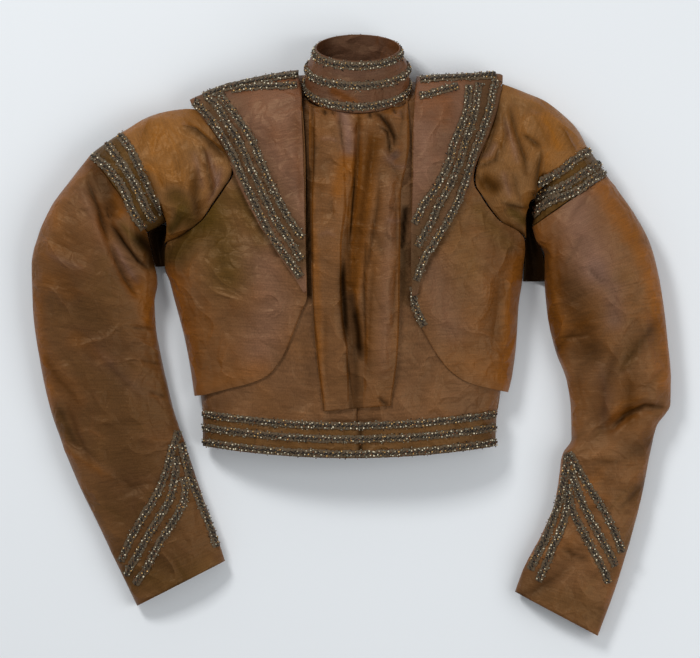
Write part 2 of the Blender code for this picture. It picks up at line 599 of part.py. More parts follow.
def back_height(column, row):
    """Height of the jacket's under side, flat where it rests."""
    left = read(LEFT_SIDE, 1, row)
    right = read(RIGHT_SIDE, 1, row)
    inset = np.minimum(column - left, right - column)
    share = (column - left) / (right - left)
    edge = np.where(share < 0.5, read(LEFT_SIDE, 2, row), read(RIGHT_SIDE, 2, row))
    edge = np.minimum(edge, BACK_EDGE_MOST) - BACK_EDGE_DROP
    side = edge * (1.0 - np.clip(inset / BACK_ROUND, 0.0, 1.0)) ** 2
    depth = row - read(SHOULDER, 1, column)
    seam = read(SHOULDER, 2, column) - BACK_SEAM_DROP
    top = seam * (1.0 - np.clip(depth / BACK_ROUND, 0.0, 1.0)) ** 2
    return np.maximum(side, top)


def under_wall(name, column, line, look):
    """A panel whose lower side is the under side of the jacket."""
    outer = place(column, line, back_height(column, line))
    inner = outer + upward(back_height, column, line) * WALL
    return close_shell(name, outer, inner, look)


def back_panel(name, look):
    """The back, from the nape to the waistband."""
    part = np.array(BACK_SPOTS)
    part = np.concatenate((part, 1.0 - part[-2::-1]))
    lines = []
    for down in BACK_ROWS:
        level = BACK_START + down
        left = float(read(LEFT_SIDE, 1, level + BACK_LEFT_LAG)) + BACK_MARGIN
        right = float(read(RIGHT_SIDE, 1, level)) - BACK_MARGIN
        column = left + (right - left) * part
        start = read(SHOULDER, 1, column) + SHOULDER_GAP
        ring = np.clip((column - NECK_COLUMN) / NAPE_HALF, -1.0, 1.0)
        nape = np.where(np.abs(ring) < 1.0, NAPE_ROW - NAPE_ALONG * np.sqrt(1.0 - ring * ring), 0.0)
        inside = np.abs(column - NECK_COLUMN) < NAPE_OPEN
        start = np.where(inside, nape, np.maximum(start, nape))
        finish = band_row(column, 0.0) - BAND_CLEAR
        lines.append(start + (finish - start) * down / BACK_ROWS[-1])
    line = np.array(lines)
    left = read(LEFT_SIDE, 1, line) + BACK_INSET
    right = read(RIGHT_SIDE, 1, line) - BACK_INSET
    column = left + (right - left) * part[None, :]
    return under_wall(name, column, line, look)


def band_row(column, down):
    """Row of the waistband at a share of its depth."""
    share = (column - BAND_MIDDLE) / BAND_HALF
    edge = BAND_TOP + (BAND_BOTTOM - BAND_TOP) * down
    return edge + BAND_DIP * (1.0 - np.clip(share * share, 0.0, 1.0))


def ring_normals(points):
    """Unit normals of rings of points from their neighbours."""
    around = np.roll(points, -1, axis=1) - np.roll(points, 1, axis=1)
    along = np.gradient(points, axis=0)
    normal = np.cross(around, along)
    return normal / np.linalg.norm(normal, axis=-1, keepdims=True)


def tube(name, points, wall, look):
    """A ring of cloth: outer grid, wrapped, thickened inward."""
    normal = ring_normals(points)
    middle = points.mean(axis=1, keepdims=True)
    if np.sum((points - middle) * normal) < 0:
        normal = -normal
    flat = points[..., 2] < 0.02
    normal[flat] = (0.0, 0.0, -1.0)
    inner = points - normal * wall
    return close_shell(name, points, inner, look, wrapped=True)


def band_height(share, crown):
    """Height over the waistband at a share across of -1 to 1."""
    swell = np.sqrt(1.0 - np.abs(share) ** BAND_SQUARE)
    return BAND_EDGE + (crown - BAND_EDGE) * swell


def waistband(name, look):
    """The band round the waist."""
    part = (1.0 - np.cos(np.linspace(0.0, math.pi, BAND_TOPS))) / 2.0
    rings = []
    for down in BAND_LEVELS:
        level = BAND_TOP + (BAND_BOTTOM - BAND_TOP) * down
        left = float(read(LEFT_SIDE, 1, level))
        right = float(read(RIGHT_SIDE, 1, level))
        column = left + (right - left) * part
        line = band_row(column, down)
        share = np.clip((column - left) / (right - left) * 2 - 1, -1, 1)
        height = band_height(share, float(read(CROWN, 1, level)))
        upper = place(column, line, height + BAND_LIFT)
        under_column = left + (right - left) * np.array(BAND_UNDERS)
        inset = np.minimum(under_column - left, right - under_column)
        low = BAND_EDGE * (1.0 - np.clip(inset / BACK_ROUND, 0.0, 1.0)) ** 2
        lower = place(under_column, band_row(under_column, down), low)
        rings.append(np.concatenate((upper, lower)))
    return tube(name, np.array(rings), WALL, look)


def collar_point(turn, up, lift):
    """Point of the collar: turn from the front centre, share of its height, mm outward."""
    half = float(eased(COLLAR_UP, COLLAR_HALF, up))
    base = np.array(COLLAR_BASE)
    along, rise, centre_row, centre_height = base + (np.array(COLLAR_TOP) - base) * up
    scale = 1.0 + lift / COLLAR_REACH
    column = NECK_COLUMN + COLLAR_LEAN * up + half * scale * np.sin(turn)
    row = centre_row + along * scale * np.cos(turn)
    height = centre_height + rise * scale * np.cos(turn)
    return place(column, row, height)


def collar_ring(name, levels, layer, look):
    """A ring of the collar at the given shares of its height, between two lifts."""
    turns = np.linspace(0.0, 2.0 * math.pi, COLLAR_TURNS + 1)[:-1]
    low, high = layer
    outer = np.array([collar_point(turns, level, high) for level in levels])
    inner = np.array([collar_point(turns, level, low) for level in levels])
    return close_shell(name, outer, inner, look, wrapped=True)


def offset_path(path, half):
    """Plan points either side of a path."""
    points = np.asarray(path, float)
    run = np.gradient(points, axis=0)
    run = run / np.linalg.norm(run, axis=1, keepdims=True)
    side = np.stack((-run[:, 1], run[:, 0]), axis=1)
    return points - side * half, points, points + side * half


def dense_path(path, longest):
    """The same path with points added until no step is over the longest."""
    points = [path[0]]
    for start, finish in zip(path[:-1], path[1:]):
        parts = math.ceil(math.dist(start, finish) / longest)
        for part in range(1, parts + 1):
            share = part / parts
            points.append((start[0] + (finish[0] - start[0]) * share,
                           start[1] + (finish[1] - start[1]) * share))
    return points


def body_braid(name, path, layer, look, width=BRAID_WIDTH):
    """A braid sewn along a path on the upper side."""
    low, high = layer
    lines = offset_path(dense_path(path, BRAID_STEP), width / 2.0)
    outer = []
    inner = []
    for index, line in enumerate(lines):
        row = np.maximum(line[:, 1], read(SHOULDER, 1, line[:, 0]) + BRAID_CLEAR)
        crest = BRAID_CREST if index == 1 else 0.0
        outer.append(lifted(front_height, line[:, 0], row, np.full(len(row), high + crest)))
        inner.append(lifted(front_height, line[:, 0], row, np.full(len(row), low)))
    outer = np.stack(outer, axis=1)
    inner = np.stack(inner, axis=1)
    return close_shell(name, outer, inner, look)


def waist_height(column, row):
    """Upper side of the jacket at the waistband, whose rows dip at the middle."""
    share = (column - BAND_MIDDLE) / BAND_HALF
    level = row - BAND_DIP * (1.0 - np.clip(share * share, 0.0, 1.0))
    left = read(LEFT_SIDE, 1, level)
    right = read(RIGHT_SIDE, 1, level)
    share = np.clip((column - left) / (right - left) * 2 - 1, -1, 1)
    return band_height(share, read(CROWN, 1, level))


def waist_braid(name, down, look):
    """A braid along the upper side of the waistband."""
    turn = np.linspace(-WAIST_BRAID_TURN, WAIST_BRAID_TURN, WAIST_BRAID_SPOTS)
    column = BAND_MIDDLE + WAIST_BRAID_REACH * np.sin(turn) / math.sin(WAIST_BRAID_TURN)
    low, high = WAIST_BRAID
    outer = []
    inner = []
    for side in (-WAIST_BRAID_HALF, 0.0, WAIST_BRAID_HALF):
        line = band_row(column, down + side)
        crest = BRAID_CREST if side == 0.0 else 0.0
        outer.append(lifted(waist_height, column, line, np.full(len(column), high + crest)))
        inner.append(lifted(waist_height, column, line, np.full(len(column), low)))
    return close_shell(name, np.stack(outer, axis=1), np.stack(inner, axis=1), look)


class Sleeve:
    """A tube of cloth through measured stations, laid flat underneath."""

    def __init__(self, stations, side=None, folds=()):
        rows = np.asarray(stations, float)
        self.rows = rows
        self.keys = np.arange(len(rows), dtype=float)
        self.side = side
        self.folds = folds

    def value(self, index, at):
        """One of the stations' values at a place along the sleeve."""
        return float(eased(self.keys, self.rows[:, index], at))

    def armhole(self, share, start, finish):
        """How far the armhole seam stands off the straight line across it."""
        line = start[1] + (finish[1] - start[1]) * share
        straight = start[0] + (finish[0] - start[0]) * share
        gap = -SLEEVE_GAP if self.side is LEFT_SIDE else SLEEVE_GAP
        stand = read(self.side, 1, line) + gap - straight
        return stand * np.sqrt(np.clip(share * (1 - share) * ARMHOLE_STEEP, 0, 1))

    def plan(self, at, share, under=False):
        """Plan point at a place along the sleeve and a share across it."""
        outer = np.array([self.value(0, at), self.value(1, at)])
        inner = np.array([self.value(2, at), self.value(3, at)])
        column = outer[0] + (inner[0] - outer[0]) * share
        row = outer[1] + (inner[1] - outer[1]) * share
        if self.side is not None:
            curve = self.value(6, at) * (SLEEVE_UNDER_CURVE if under else 1.0)
            start = self.rows[0, 0:2]
            finish = self.rows[0, 2:4]
            column = column + curve * self.armhole(share, start, finish)
        return column, row

    def sunk(self, column, row):
        """Depth of the fold lines under a plan point."""
        depth = np.zeros(np.shape(column))
        for fold in self.folds:
            knots = np.asarray(fold[:4], float)
            nearest = np.full(np.shape(column), 1e9)
            for start, finish in zip(knots[:-1], knots[1:]):
                run = finish - start
                part = ((column - start[0]) * run[0] + (row - start[1]) * run[1]) / run.dot(run)
                part = np.clip(part, 0.0, 1.0)
                away = np.hypot(column - start[0] - run[0] * part, row - start[1] - run[1] * part)
                nearest = np.minimum(nearest, away)
            depth = np.maximum(depth, fold[4] * np.exp(-((nearest / fold[5]) ** 2)))
        return depth

    def ring(self, at):
        """Outer points of one ring: over the top from outer to inner, then back below."""
        turn = np.linspace(0.0, math.pi, SLEEVE_TOPS)
        share = (1.0 - np.cos(turn)) / 2.0
        edge = self.value(5, at)
        top = self.value(4, at)
        column, row = self.plan(at, share)
        height = edge + (top - edge) * np.sin(turn) ** SLEEVE_ROUND
        if self.side is not None:
            blend = self.value(6, at) ** 2
            seam = read(self.side, 2, row) + SLEEVE_SEAM_LIFT
            height = height * (1.0 - blend) + seam * blend
        height = height - self.sunk(column, row) * np.sin(turn) ** 0.5
        upper = place(column, row, height)
        under = np.linspace(math.pi, 0.0, SLEEVE_UNDERS + 2)[1:-1]
        share = (1.0 - np.cos(under)) / 2.0
        column, row = self.plan(at, share, under=True)
        low = np.where(share < 0.5, height[0], height[-1])
        sunk = (np.sin(under) / SLEEVE_LOW) ** SLEEVE_LOW_ROUND
        level = low * np.clip(1.0 - sunk, 0.0, 1.0)
        return np.concatenate((upper, place(column, row, level)))

    def points(self, steps):
        """Rings of outer points at places along the sleeve."""
        return np.array([self.ring(at) for at in steps])

    def find(self, column, row):
        """Station and share across at which a plan point lies on the upper side."""
        low, high = 0.0, self.keys[-1]
        for _ in range(30):
            at = (low + high) / 2.0
            outer = (self.value(0, at), self.value(1, at))
            inner = (self.value(2, at), self.value(3, at))
            run = (inner[0] - outer[0], inner[1] - outer[1])
            turn = (column - outer[0]) * run[1] - (row - outer[1]) * run[0]
            forward = turn * self.hand() > 0
            low, high = (at, high) if forward else (low, at)
        length = run[0] ** 2 + run[1] ** 2
        share = ((column - outer[0]) * run[0] + (row - outer[1]) * run[1]) / length
        return at, min(max(share, 0.004), 0.996)

    def hand(self):
        """1 where the sleeve's inner edge lies left of its outer one, else -1."""
        return -1.0 if self.rows[0, 2] > self.rows[0, 0] else 1.0

    def top_point(self, at, share):
        """A point of the upper side."""
        edge = self.value(5, at)
        top = self.value(4, at)
        turn = np.arccos(1.0 - 2.0 * share)
        column, row = self.plan(at, share)
        height = edge + (top - edge) * np.sin(turn) ** SLEEVE_ROUND
        height = height - self.sunk(column, row) * np.sin(turn) ** 0.5
        return place(column, row, height)

    def lifted(self, at, share, lift):
        """A point of the upper side moved out along its normal."""
        nudge = 0.002
        around = self.top_point(at, min(share + nudge, 1)) - self.top_point(at, max(share - nudge, 0))
        last = self.keys[-1]
        along = self.top_point(min(at + 0.02, last), share) - self.top_point(max(at - 0.02, 0), share)
        normal = np.cross(around, along)
        normal = normal / np.linalg.norm(normal)
        if normal[2] < 0:
            normal = -normal
        return self.top_point(at, share) + normal * lift


def arm_braid(name, sleeve, at, look):
    """A braid over the upper side of an arm band."""
    turn = np.linspace(ARM_BRAID_TURN, math.pi - ARM_BRAID_TURN, ARM_BRAID_SPOTS)
    share = (1.0 - np.cos(turn)) / 2.0
    low, high = ARM_BRAID
    outer = []
    inner = []
    for side in (-ARM_BRAID_HALF, ARM_BRAID_HALF):
        outer.append([sleeve.lifted(at + side, float(part), high) for part in share])
        inner.append([sleeve.lifted(at + side, float(part), low) for part in share])
    outer = np.swapaxes(np.array(outer), 0, 1)
    inner = np.swapaxes(np.array(inner), 0, 1)
    return close_shell(name, outer, inner, look)


def cuff_braid(name, sleeve, path, look):
    """A braid along a path on the upper side of a sleeve."""
    low, high = CUFF_BRAID
    outer = []
    inner = []
    for line in offset_path(path, CUFF_BRAID_HALF):
        spots = [sleeve.find(column, row) for column, row in line]
        outer.append([sleeve.lifted(at, share, high) for at, share in spots])
        inner.append([sleeve.lifted(at, share, low) for at, share in spots])
    outer = np.swapaxes(np.array(outer), 0, 1)
    inner = np.swapaxes(np.array(inner), 0, 1)
    return close_shell(name, outer, inner, look)


def underarm(name, rows, near_high, far_high, look):
    """A low scrap of cloth hanging between the side and the sleeve."""
    part = np.linspace(0.0, 1.0, UNDERARM_SPOTS)
    grid = []
    for row, inner, outer in rows:
        column = inner + (outer - inner) * part
        ends = near_high + (far_high - near_high) * part
        sag = np.minimum(ends - UNDERARM_LOW, UNDERARM_SAG * (outer - inner))
        height = ends - sag * (1.0 - (2.0 * part - 1.0) ** 2)
        grid.append(place(column, float(row), height))
    grid = np.array(grid)
    low, high = UNDERARM_LAYER
    return close_shell(name, grid + (0.0, 0.0, high), grid + (0.0, 0.0, low), look)


def build_body():
    """The bodice: front cuts, revers, pleats, back, waistband and their braids."""
    body_panel("front_left", FRONT_LEFT, LEFT_SIDE, FOUNDATION, SILK_DARK, to_band=True)
    body_panel("front_right", FRONT_RIGHT, RIGHT_SIDE, FOUNDATION, SILK_DARK, to_band=True)
    body_panel("bolero_left", BOLERO_LEFT, LEFT_SIDE, OVERLAY, SILK, FLARE_LEFT)
    body_panel("bolero_right", BOLERO_RIGHT, RIGHT_SIDE, OVERLAY, SILK, FLARE_RIGHT)
    revers_panel("revers_left", REVERS_LEFT, SILK_MAUVE)
    revers_panel("revers_right", REVERS_RIGHT, SILK_MAUVE)
    plastron_panel("plastron", SILK)
    back_panel("back", SILK_DARK)
    waistband("waistband", SILK)
    for name, path in BRAIDS_ON_REVERS.items():
        body_braid(name, path, REVERS_BRAID, BEADS)
    for name, path in BRAIDS_ON_SHOULDER.items():
        body_braid(name, path, REVERS_BRAID, BEADS, SHOULDER_BRAID_WIDTH)
    body_braid("bolero_right_braid", BOLERO_BRAID, OVERLAY_BRAID, BEADS, BOLERO_BRAID_WIDTH)
    for name, down in WAIST_BRAIDS.items():
        waist_braid(name, down, BEADS)


def build_collar():
    """The standing collar and its three braids."""
    collar_ring("collar", COLLAR_LEVELS, COLLAR_LAYER, SILK_MAUVE)
    for name, level in COLLAR_BRAIDS.items():
        levels = (level - COLLAR_BRAID_HALF, level + COLLAR_BRAID_HALF)
        collar_ring(name, levels, COLLAR_BRAID, BEADS)


def build_sleeves():
    """Both sleeves: puff, arm band, lower sleeve and their braids, and the underarm scraps."""
    sides = (
        ("left", LEFT_SIDE, PUFF_LEFT, BAND_LEFT, SLEEVE_LEFT),
        ("right", RIGHT_SIDE, PUFF_RIGHT, BAND_RIGHT, SLEEVE_RIGHT),
    )
    for side, seam, puff_rows, band_rows, sleeve_rows in sides:
        puff = Sleeve(puff_rows, seam)
        tube(f"sleeve_puff_{side}", puff.points(puff.keys), WALL, SILK_BRONZE)
        band = Sleeve(band_rows)
        tube(f"arm_band_{side}", band.points(band.keys), WALL, SILK)
        for row_name, share in ARM_BRAIDS.items():
            at = share * band.keys[-1]
            arm_braid(f"arm_band_{side}_braid_{row_name}", band, at, BEADS)
        lower = Sleeve(sleeve_rows, None, SLEEVE_FOLDS[side])
        near = np.arange(0.0, SLEEVE_HALF_STEPS, 0.5)
        steps = np.concatenate((near, lower.keys[SLEEVE_HALF_STEPS:]))
        tube(f"sleeve_{side}", lower.points(steps), WALL, SILK)
        for name, path in CUFF_BRAIDS.items():
            if name.startswith(f"cuff_{side}"):
                cuff_braid(name, lower, path, BEADS)
    underarm("underarm_left", UNDERARM_LEFT, UNDERARM_ARM_HIGH, UNDERARM_BODY_HIGH, SILK_DARK)
    underarm("underarm_right", UNDERARM_RIGHT, UNDERARM_BODY_HIGH, UNDERARM_ARM_HIGH, SILK_DARK)


def main():
    """Clear the scene and build the jacket."""
    for existing in list(bpy.data.objects):
        bpy.data.objects.remove(existing, do_unlink=True)
    build_body()
    build_collar()
    build_sleeves()


main()
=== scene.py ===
"""Visual model of a beaded jacket of shot silk taffeta, laid on its back and lightly filled out.

Plan positions are read on a draft grid of 1.1 mm squares: columns run to the right, rows run
down toward the hem, and heights are millimetres above the surface that the jacket lies on.
"""

import logging
import math
from dataclasses import dataclass, field
from enum import Enum
from typing import Callable, Optional, Sequence

import bmesh
import bpy
import numpy as np
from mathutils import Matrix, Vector


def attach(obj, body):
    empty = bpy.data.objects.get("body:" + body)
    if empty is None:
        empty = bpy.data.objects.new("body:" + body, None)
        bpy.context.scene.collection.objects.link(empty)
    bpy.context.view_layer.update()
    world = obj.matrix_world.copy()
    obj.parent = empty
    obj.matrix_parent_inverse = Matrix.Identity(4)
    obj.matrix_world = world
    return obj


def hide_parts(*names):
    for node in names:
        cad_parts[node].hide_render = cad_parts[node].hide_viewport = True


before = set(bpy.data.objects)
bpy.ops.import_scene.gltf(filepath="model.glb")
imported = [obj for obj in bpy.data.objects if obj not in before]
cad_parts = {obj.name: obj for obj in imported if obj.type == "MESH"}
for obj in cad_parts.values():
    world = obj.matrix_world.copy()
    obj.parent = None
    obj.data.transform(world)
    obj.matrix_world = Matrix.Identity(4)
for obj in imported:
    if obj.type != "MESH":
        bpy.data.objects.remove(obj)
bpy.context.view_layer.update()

Array = np.ndarray
Table = tuple[tuple[float, ...], ...]
Path = tuple[tuple[float, float], ...]
Surface = Callable[[Array, Array], Array]

# Metres in a mm, the cloth's thickness in mm, how close points have to be to be joined, in m, how
# close grid lines start at an outer edge, and squares that cloth is kept off the shoulder seam.
MM = 0.001
WALL = 1.1
JOIN = 2e-6
EDGE_PACE = 0.28
SEAM_CLEAR = 0.03

# Layers of the cloth that its finish reads: warmth, with painted sheen on tilted flanks, painted
# shade, and mauve, with painted highlights on crests.
TINTS = ("warm", "shade", "mauve")

# The draft's square in mm, and the column and row of the jacket's middle.
SQUARE = 1.1
CENTRE_COLUMN = 351.25
CHEST_ROW = 335.12

# Outer faces of the layers in mm above the body's form: the boleros, then the revers.
OVERLAY_TOP = 2.8
REVERS_TOP = 6.1

# How far, in squares, the shoulder, the neck and the back take to round off.
SHOULDER_ROUND = 45.0
NECK_REACH = 13.0
BACK_ROUND = 16.0

# The back where it turns up at the sides and under the shoulder seam, in mm.
BACK_EDGE_MOST = 26.0
BACK_EDGE_DROP = 1.0
BACK_SEAM_DROP = 3.5

# Collar ring where it is sewn to the neck: plan centre and radii in squares, heights in mm.
NECK_COLUMN = 357.0
NECK_ROW = 92.0
NECK_ACROSS = 47.5
NECK_ALONG = 21.0
NECK_HEIGHT = 47.0
NECK_DEPTH = 41.0

# Neckline of the back: its middle row, radii and the reach over which it runs past the shoulders.
NAPE_ROW = 92.2
NAPE_ALONG = 22.4
NAPE_HALF = 52.0
NAPE_OPEN = 45.0
SHOULDER_GAP = 0.3
NAPE_FADE = 4.5
BACK_ROWS = (86.0, 408.0)

# Rows over which the fronts pass the side seam, with the share of that margin at each.
MARGIN_ROWS = (0, 236, 252, 500)
MARGIN_SHARES = (1, 1, 0.02, 0.02)

# The boleros' lower outer corners stand off over these squares and rows.
FLARE_ACROSS = 30.0
FLARE_ROWS = (300.0, 390.0)

# The collar: half width in squares by share of its height, then pairs for its foot and its top.
NECK_HALF = 52.0
COLLAR_SHARES = (0, 0.3, 0.5, 0.7, 0.85, 1)
COLLAR_HALVES = (51, 51.2, 50.4, 46.8, 43.8, 41.5)
COLLAR_ROWS = (91.0, 48.0)
COLLAR_ALONG = (22.4, 13.5)
COLLAR_HEIGHT = 47.6
COLLAR_TILT = 1.6
COLLAR_RISE = 44.6
COLLAR_TOP_RISE = 40.0
COLLAR_SHIFT = 0.8
COLLAR_RADIUS = 47.0
COLLAR_FACE = 0.9

# Sleeves: how square a tube's upper side is, the share of its half width where its under side
# leaves the surface, squares between sleeve and armhole, how much less its under side follows the
# armhole, mm that its head stands above it, and rounds of the search for a spot on it.
TUBE_SQUARE = 0.8
TUBE_REST = 0.86
ARMHOLE_GAP = 0.4
ARMHOLE_UNDER = 0.8
ARMHOLE_RISE = 1.6
HALVINGS = 26

# row, edge column, edge height in mm
LEFT_SIDE = (
    (60, 195, 26), (96, 190, 26), (101, 189, 27), (106, 192, 29), (110, 197.5, 32),
    (118, 203.5, 38), (127, 210.5, 45), (137, 217.5, 51), (148, 225, 56),
    (158, 229.5, 60), (168, 232.8, 62), (174, 232.3, 63), (190, 223, 60),
    (205, 212.5, 53), (220, 202, 44), (232, 188, 32), (239, 176, 24), (244, 167.5, 18),
    (266, 167, 13), (281, 172, 12), (300, 177, 12), (340, 188.7, 12), (375, 197, 12),
    (396, 201, 12), (410, 202.7, 12), (462, 202.7, 12),
)
RIGHT_SIDE = (
    (60, 503, 25), (76, 503.5, 26), (83, 501.5, 29), (95, 498.5, 34), (115, 494, 44),
    (133, 488, 52), (150, 481.5, 58), (166, 476.5, 62), (178, 474.5, 63),
    (186, 475.5, 62), (195, 481, 60), (210, 491, 52), (222, 501, 44), (228, 511, 36),
    (233, 520, 28), (239, 524.5, 20), (250, 523, 15), (266, 521, 13), (281, 519.8, 12),
    (300, 516.8, 12), (340, 512.6, 12), (375, 506, 12), (396, 499.5, 12),
    (410, 497, 12), (462, 494.8, 12),
)
# row, crown height in mm, squareness across, roundness at the sides
CROWN = (
    (60, 70, 2.2, 1.0), (100, 84, 2.2, 1.0), (130, 88, 2.2, 1.0), (172, 88, 2.4, 1.0),
    (205, 87.6, 2.5, 1.0), (235, 86.4, 2.7, 1.2), (262, 84.2, 3.0, 1.75), (300, 80, 3.2, 2.0),
    (340, 73, 3.2, 2.0),
    (375, 66, 3.2, 2.0), (396, 63, 3.2, 2.0), (462, 60, 3.2, 2.0),
)
# column, row of the shoulder line, height in mm
SHOULDER = (
    (170, 112, 26), (190, 105, 26), (200, 101, 26), (212, 95.5, 26), (225, 90.5, 26),
    (240, 86.5, 26), (260, 82.5, 26), (280, 78, 24), (303, 75, 21), (324, 74, 16),
    (357, 73, 7), (390, 78.5, 16), (410, 82, 21), (440, 80.5, 25), (460, 80, 26),
    (480, 79, 26), (520, 79, 26),
)

# inner column, inner row, outer row, bow
FRONT_LEFT = (
    (316, 74.4, 104, 6), (311, 81, 108, 5), (306.6, 87, 113, 4), (304.8, 94.5, 119, 3),
    (309.5, 103, 127, 2), (320.5, 108.5, 137, 1), (333, 112.6, 148, 0), (346, 114.9, 159, 0),
    (356.6, 121, 169, 0), (356.6, 150, 181, 0), (356.6, 178, 194, 0), (356.6, 203, 209, 0),
    (356.6, 226, 223, 0), (356.6, 246, 235, 0), (356.6, 264, 246, 0), (356.6, 288, 268, 0),
    (356.6, 318, 304, 0), (356.6, 352, 340, 0), (356.6, 388, 375, 0), (356.6, 408, 394, 0),
    (356.6, 420.5, 408.6, -3),
)
FRONT_RIGHT = (
    (402, 81, 79.6, 0), (406, 86, 85, 0), (409, 92, 92, 0), (409, 99, 100, 0),
    (401, 105.5, 110, 0), (390, 110.2, 122, 0), (379, 113.2, 136, 0), (368, 115, 149, 0),
    (357.4, 121, 161, 0), (357.4, 150, 173, 0), (357.4, 176, 184, 0), (357.4, 199, 197, 0),
    (357.4, 221, 211, 0), (357.4, 240, 223, 0), (357.4, 256, 232, 0), (357.4, 272, 241, 0),
    (357.4, 292, 268, 0), (357.4, 320, 304, 0), (357.4, 354, 340, 0), (357.4, 388, 375, 0),
    (357.4, 408, 393, 0), (357.4, 420.5, 407.6, -3),
)
BOLERO_LEFT = (
    (298.5, 76.5, 104, 6), (298.5, 80, 108, 5), (298.5, 88, 113, 4), (300, 99, 121, 3),
    (303, 113, 132, 1.5), (304.5, 130, 145, 0), (305.5, 150, 158, 0), (306, 168, 171, 0),
    (306, 188, 185, 0), (306, 207, 201, 0), (306, 226, 217, 0), (306, 244, 232, 0),
    (306, 262, 245, 0), (307, 280, 264, 0), (307, 297, 283, 0), (302, 310, 301, 0),
    (296, 326, 319, 0), (289, 343, 337, 0), (280, 361, 354, 0), (268, 375, 369, 0),
    (250, 383, 381, 0), (229, 388.5, 389, 0), (207, 394.5, 395, 0),
)
BOLERO_RIGHT = (
    (416, 84, 80, 0), (416, 88, 86, 0), (416, 95, 94, 0), (415, 104, 104, 0),
    (413, 116, 116, 0), (412, 130, 130, 0), (411.5, 145, 145, 0), (411.5, 160, 160, 0),
    (411, 175, 174, 0), (411, 191, 186, 0), (411, 207, 199, 0), (411, 222, 212, 0),
    (411, 237, 223, 0), (411, 251, 233, 0), (411, 265, 242, 0), (411, 281, 258, 0),
    (411.5, 298, 278, 0), (415, 313, 299, 0), (420.5, 326, 319, 0), (428.5, 341, 337, 0),
    (437, 355, 353, 0), (449, 370, 367, 0), (464, 380.5, 379, 0), (481, 386, 386, 0),
    (498, 389.5, 390, 0),
)
# inner column, inner row, outer column, outer row
REVERS_LEFT = (
    (297, 75.8, 191.5, 105), (297, 80, 194.5, 108.5), (297.5, 88, 200, 113),
    (300, 99, 207, 122), (302, 113, 215, 134), (303, 130, 223.5, 148),
    (304, 150, 232, 164), (304.5, 172, 240.5, 185), (305, 193, 251, 206),
    (305.2, 213, 262, 227.5), (305.5, 233, 274, 246.5), (306, 254, 286, 265),
    (306.5, 274, 297, 281), (306.8, 292, 304.3, 293),
)
REVERS_RIGHT = (
    (417, 84, 502.5, 80), (417, 88.5, 500.5, 87), (416, 96, 498, 96), (414, 107, 495.5, 108),
    (412.5, 121, 491, 122), (412, 137, 485.5, 137), (412, 155, 478.5, 153),
    (412, 172, 472.5, 168), (411.5, 190, 467.5, 185), (411, 207, 459.5, 203),
    (410.5, 224, 450.5, 220), (410.2, 241, 440, 237), (410.2, 258, 429, 255),
    (410.7, 276, 421.5, 274), (411.3, 296, 416.5, 295),
)

# The pleated front: rows that its folds run over, its length in squares, its foot's left end and
# the foot's slope.
PLEAT_ROWS = (112.0, 408.0)
PLEAT_LENGTH = 290.0
PLEAT_FOOT = (323.0, 411.0)
PLEAT_SLOPE = -6.0 / 68.0

# Its top corners drop by squares, from a share of the neck's half width out to a greatest share.
CORNER_DROP = 8.0
CORNER_FROM = 0.72
CORNER_MOST = 1.2

# Squares over which its pleats come up, the share of its length from which they are drawn in at
# the foot, how much they are, and the stand under which the cloth counts as a hollow.
PLEAT_START = (1.5, 11.5)
GATHER_FROM = 0.93
GATHER_SHARE = 0.5
HOLLOW_STAND = 1.1

# Row above which the hollow beside its last fold is shallow, and how dark it is left.
SHALLOW_ROW = 205.0
SHALLOW_SHADE = 0.25

# Rows of the fold table, then each fold's columns and how far it stands.
PLASTRON_ROWS = (108, 150, 200, 250, 300, 355, 405)
PLASTRON_FOLDS = {
    "left edge": ((309.5, 309.5, 310, 311, 312.5, 317, 323), (0, 0, 0, 0, 0, 0, 0)),
    "strip": ((314, 313.5, 312.5, 312.2, 313.3, 318, 324), (0.6, 0.6, 0.5, 0.3, 0.3, 0.3, 0.3)),
    "lip": ((316.5, 315, 314, 313.8, 315, 320, 325.5), (3, 3.2, 3.2, 3.2, 3.0, 2.6, 1.8)),
    "flat pleat": ((341, 342, 343, 339.5, 340, 346, 347), (3, 3.2, 3.4, 3.8, 3.6, 3.0, 1.8)),
    "step": ((344, 346, 347, 341.5, 342, 348.5, 349.5), (2.2, 2, 1.2, 0.8, 0.5, 0.6, 0.5)),
    "under pleat": ((355, 353, 350, 345, 346, 351, 352), (2, 1.8, 0.8, 0.4, 0.3, 0.4, 0.4)),
    "groove": ((358.5, 358, 354.5, 349, 352, 355, 356), (0.3, 0.2, 0.1, 0.1, 0.1, 0.2, 0.3)),
    "slope": ((366, 364, 360, 357, 360, 363, 362), (1.5, 2.5, 2, 1.5, 1.2, 1, 0.6)),
    "rise": ((376, 374, 372, 370, 372.5, 368.5, 366), (4, 6, 6.5, 5.5, 5, 4, 2)),
    "crest": ((388, 390, 386, 383, 384, 382, 378), (4.5, 7.5, 7.5, 6, 5.5, 4.2, 2.2)),
    "fold": ((403, 405, 398, 397.5, 397.5, 395.5, 389), (1.5, 3, 4, 3.5, 3, 2.4, 1.4)),
    "right edge": ((407, 409, 400.5, 400, 399.5, 397.5, 391), (0, 0, 0, 0, 0, 0, 0)),
}

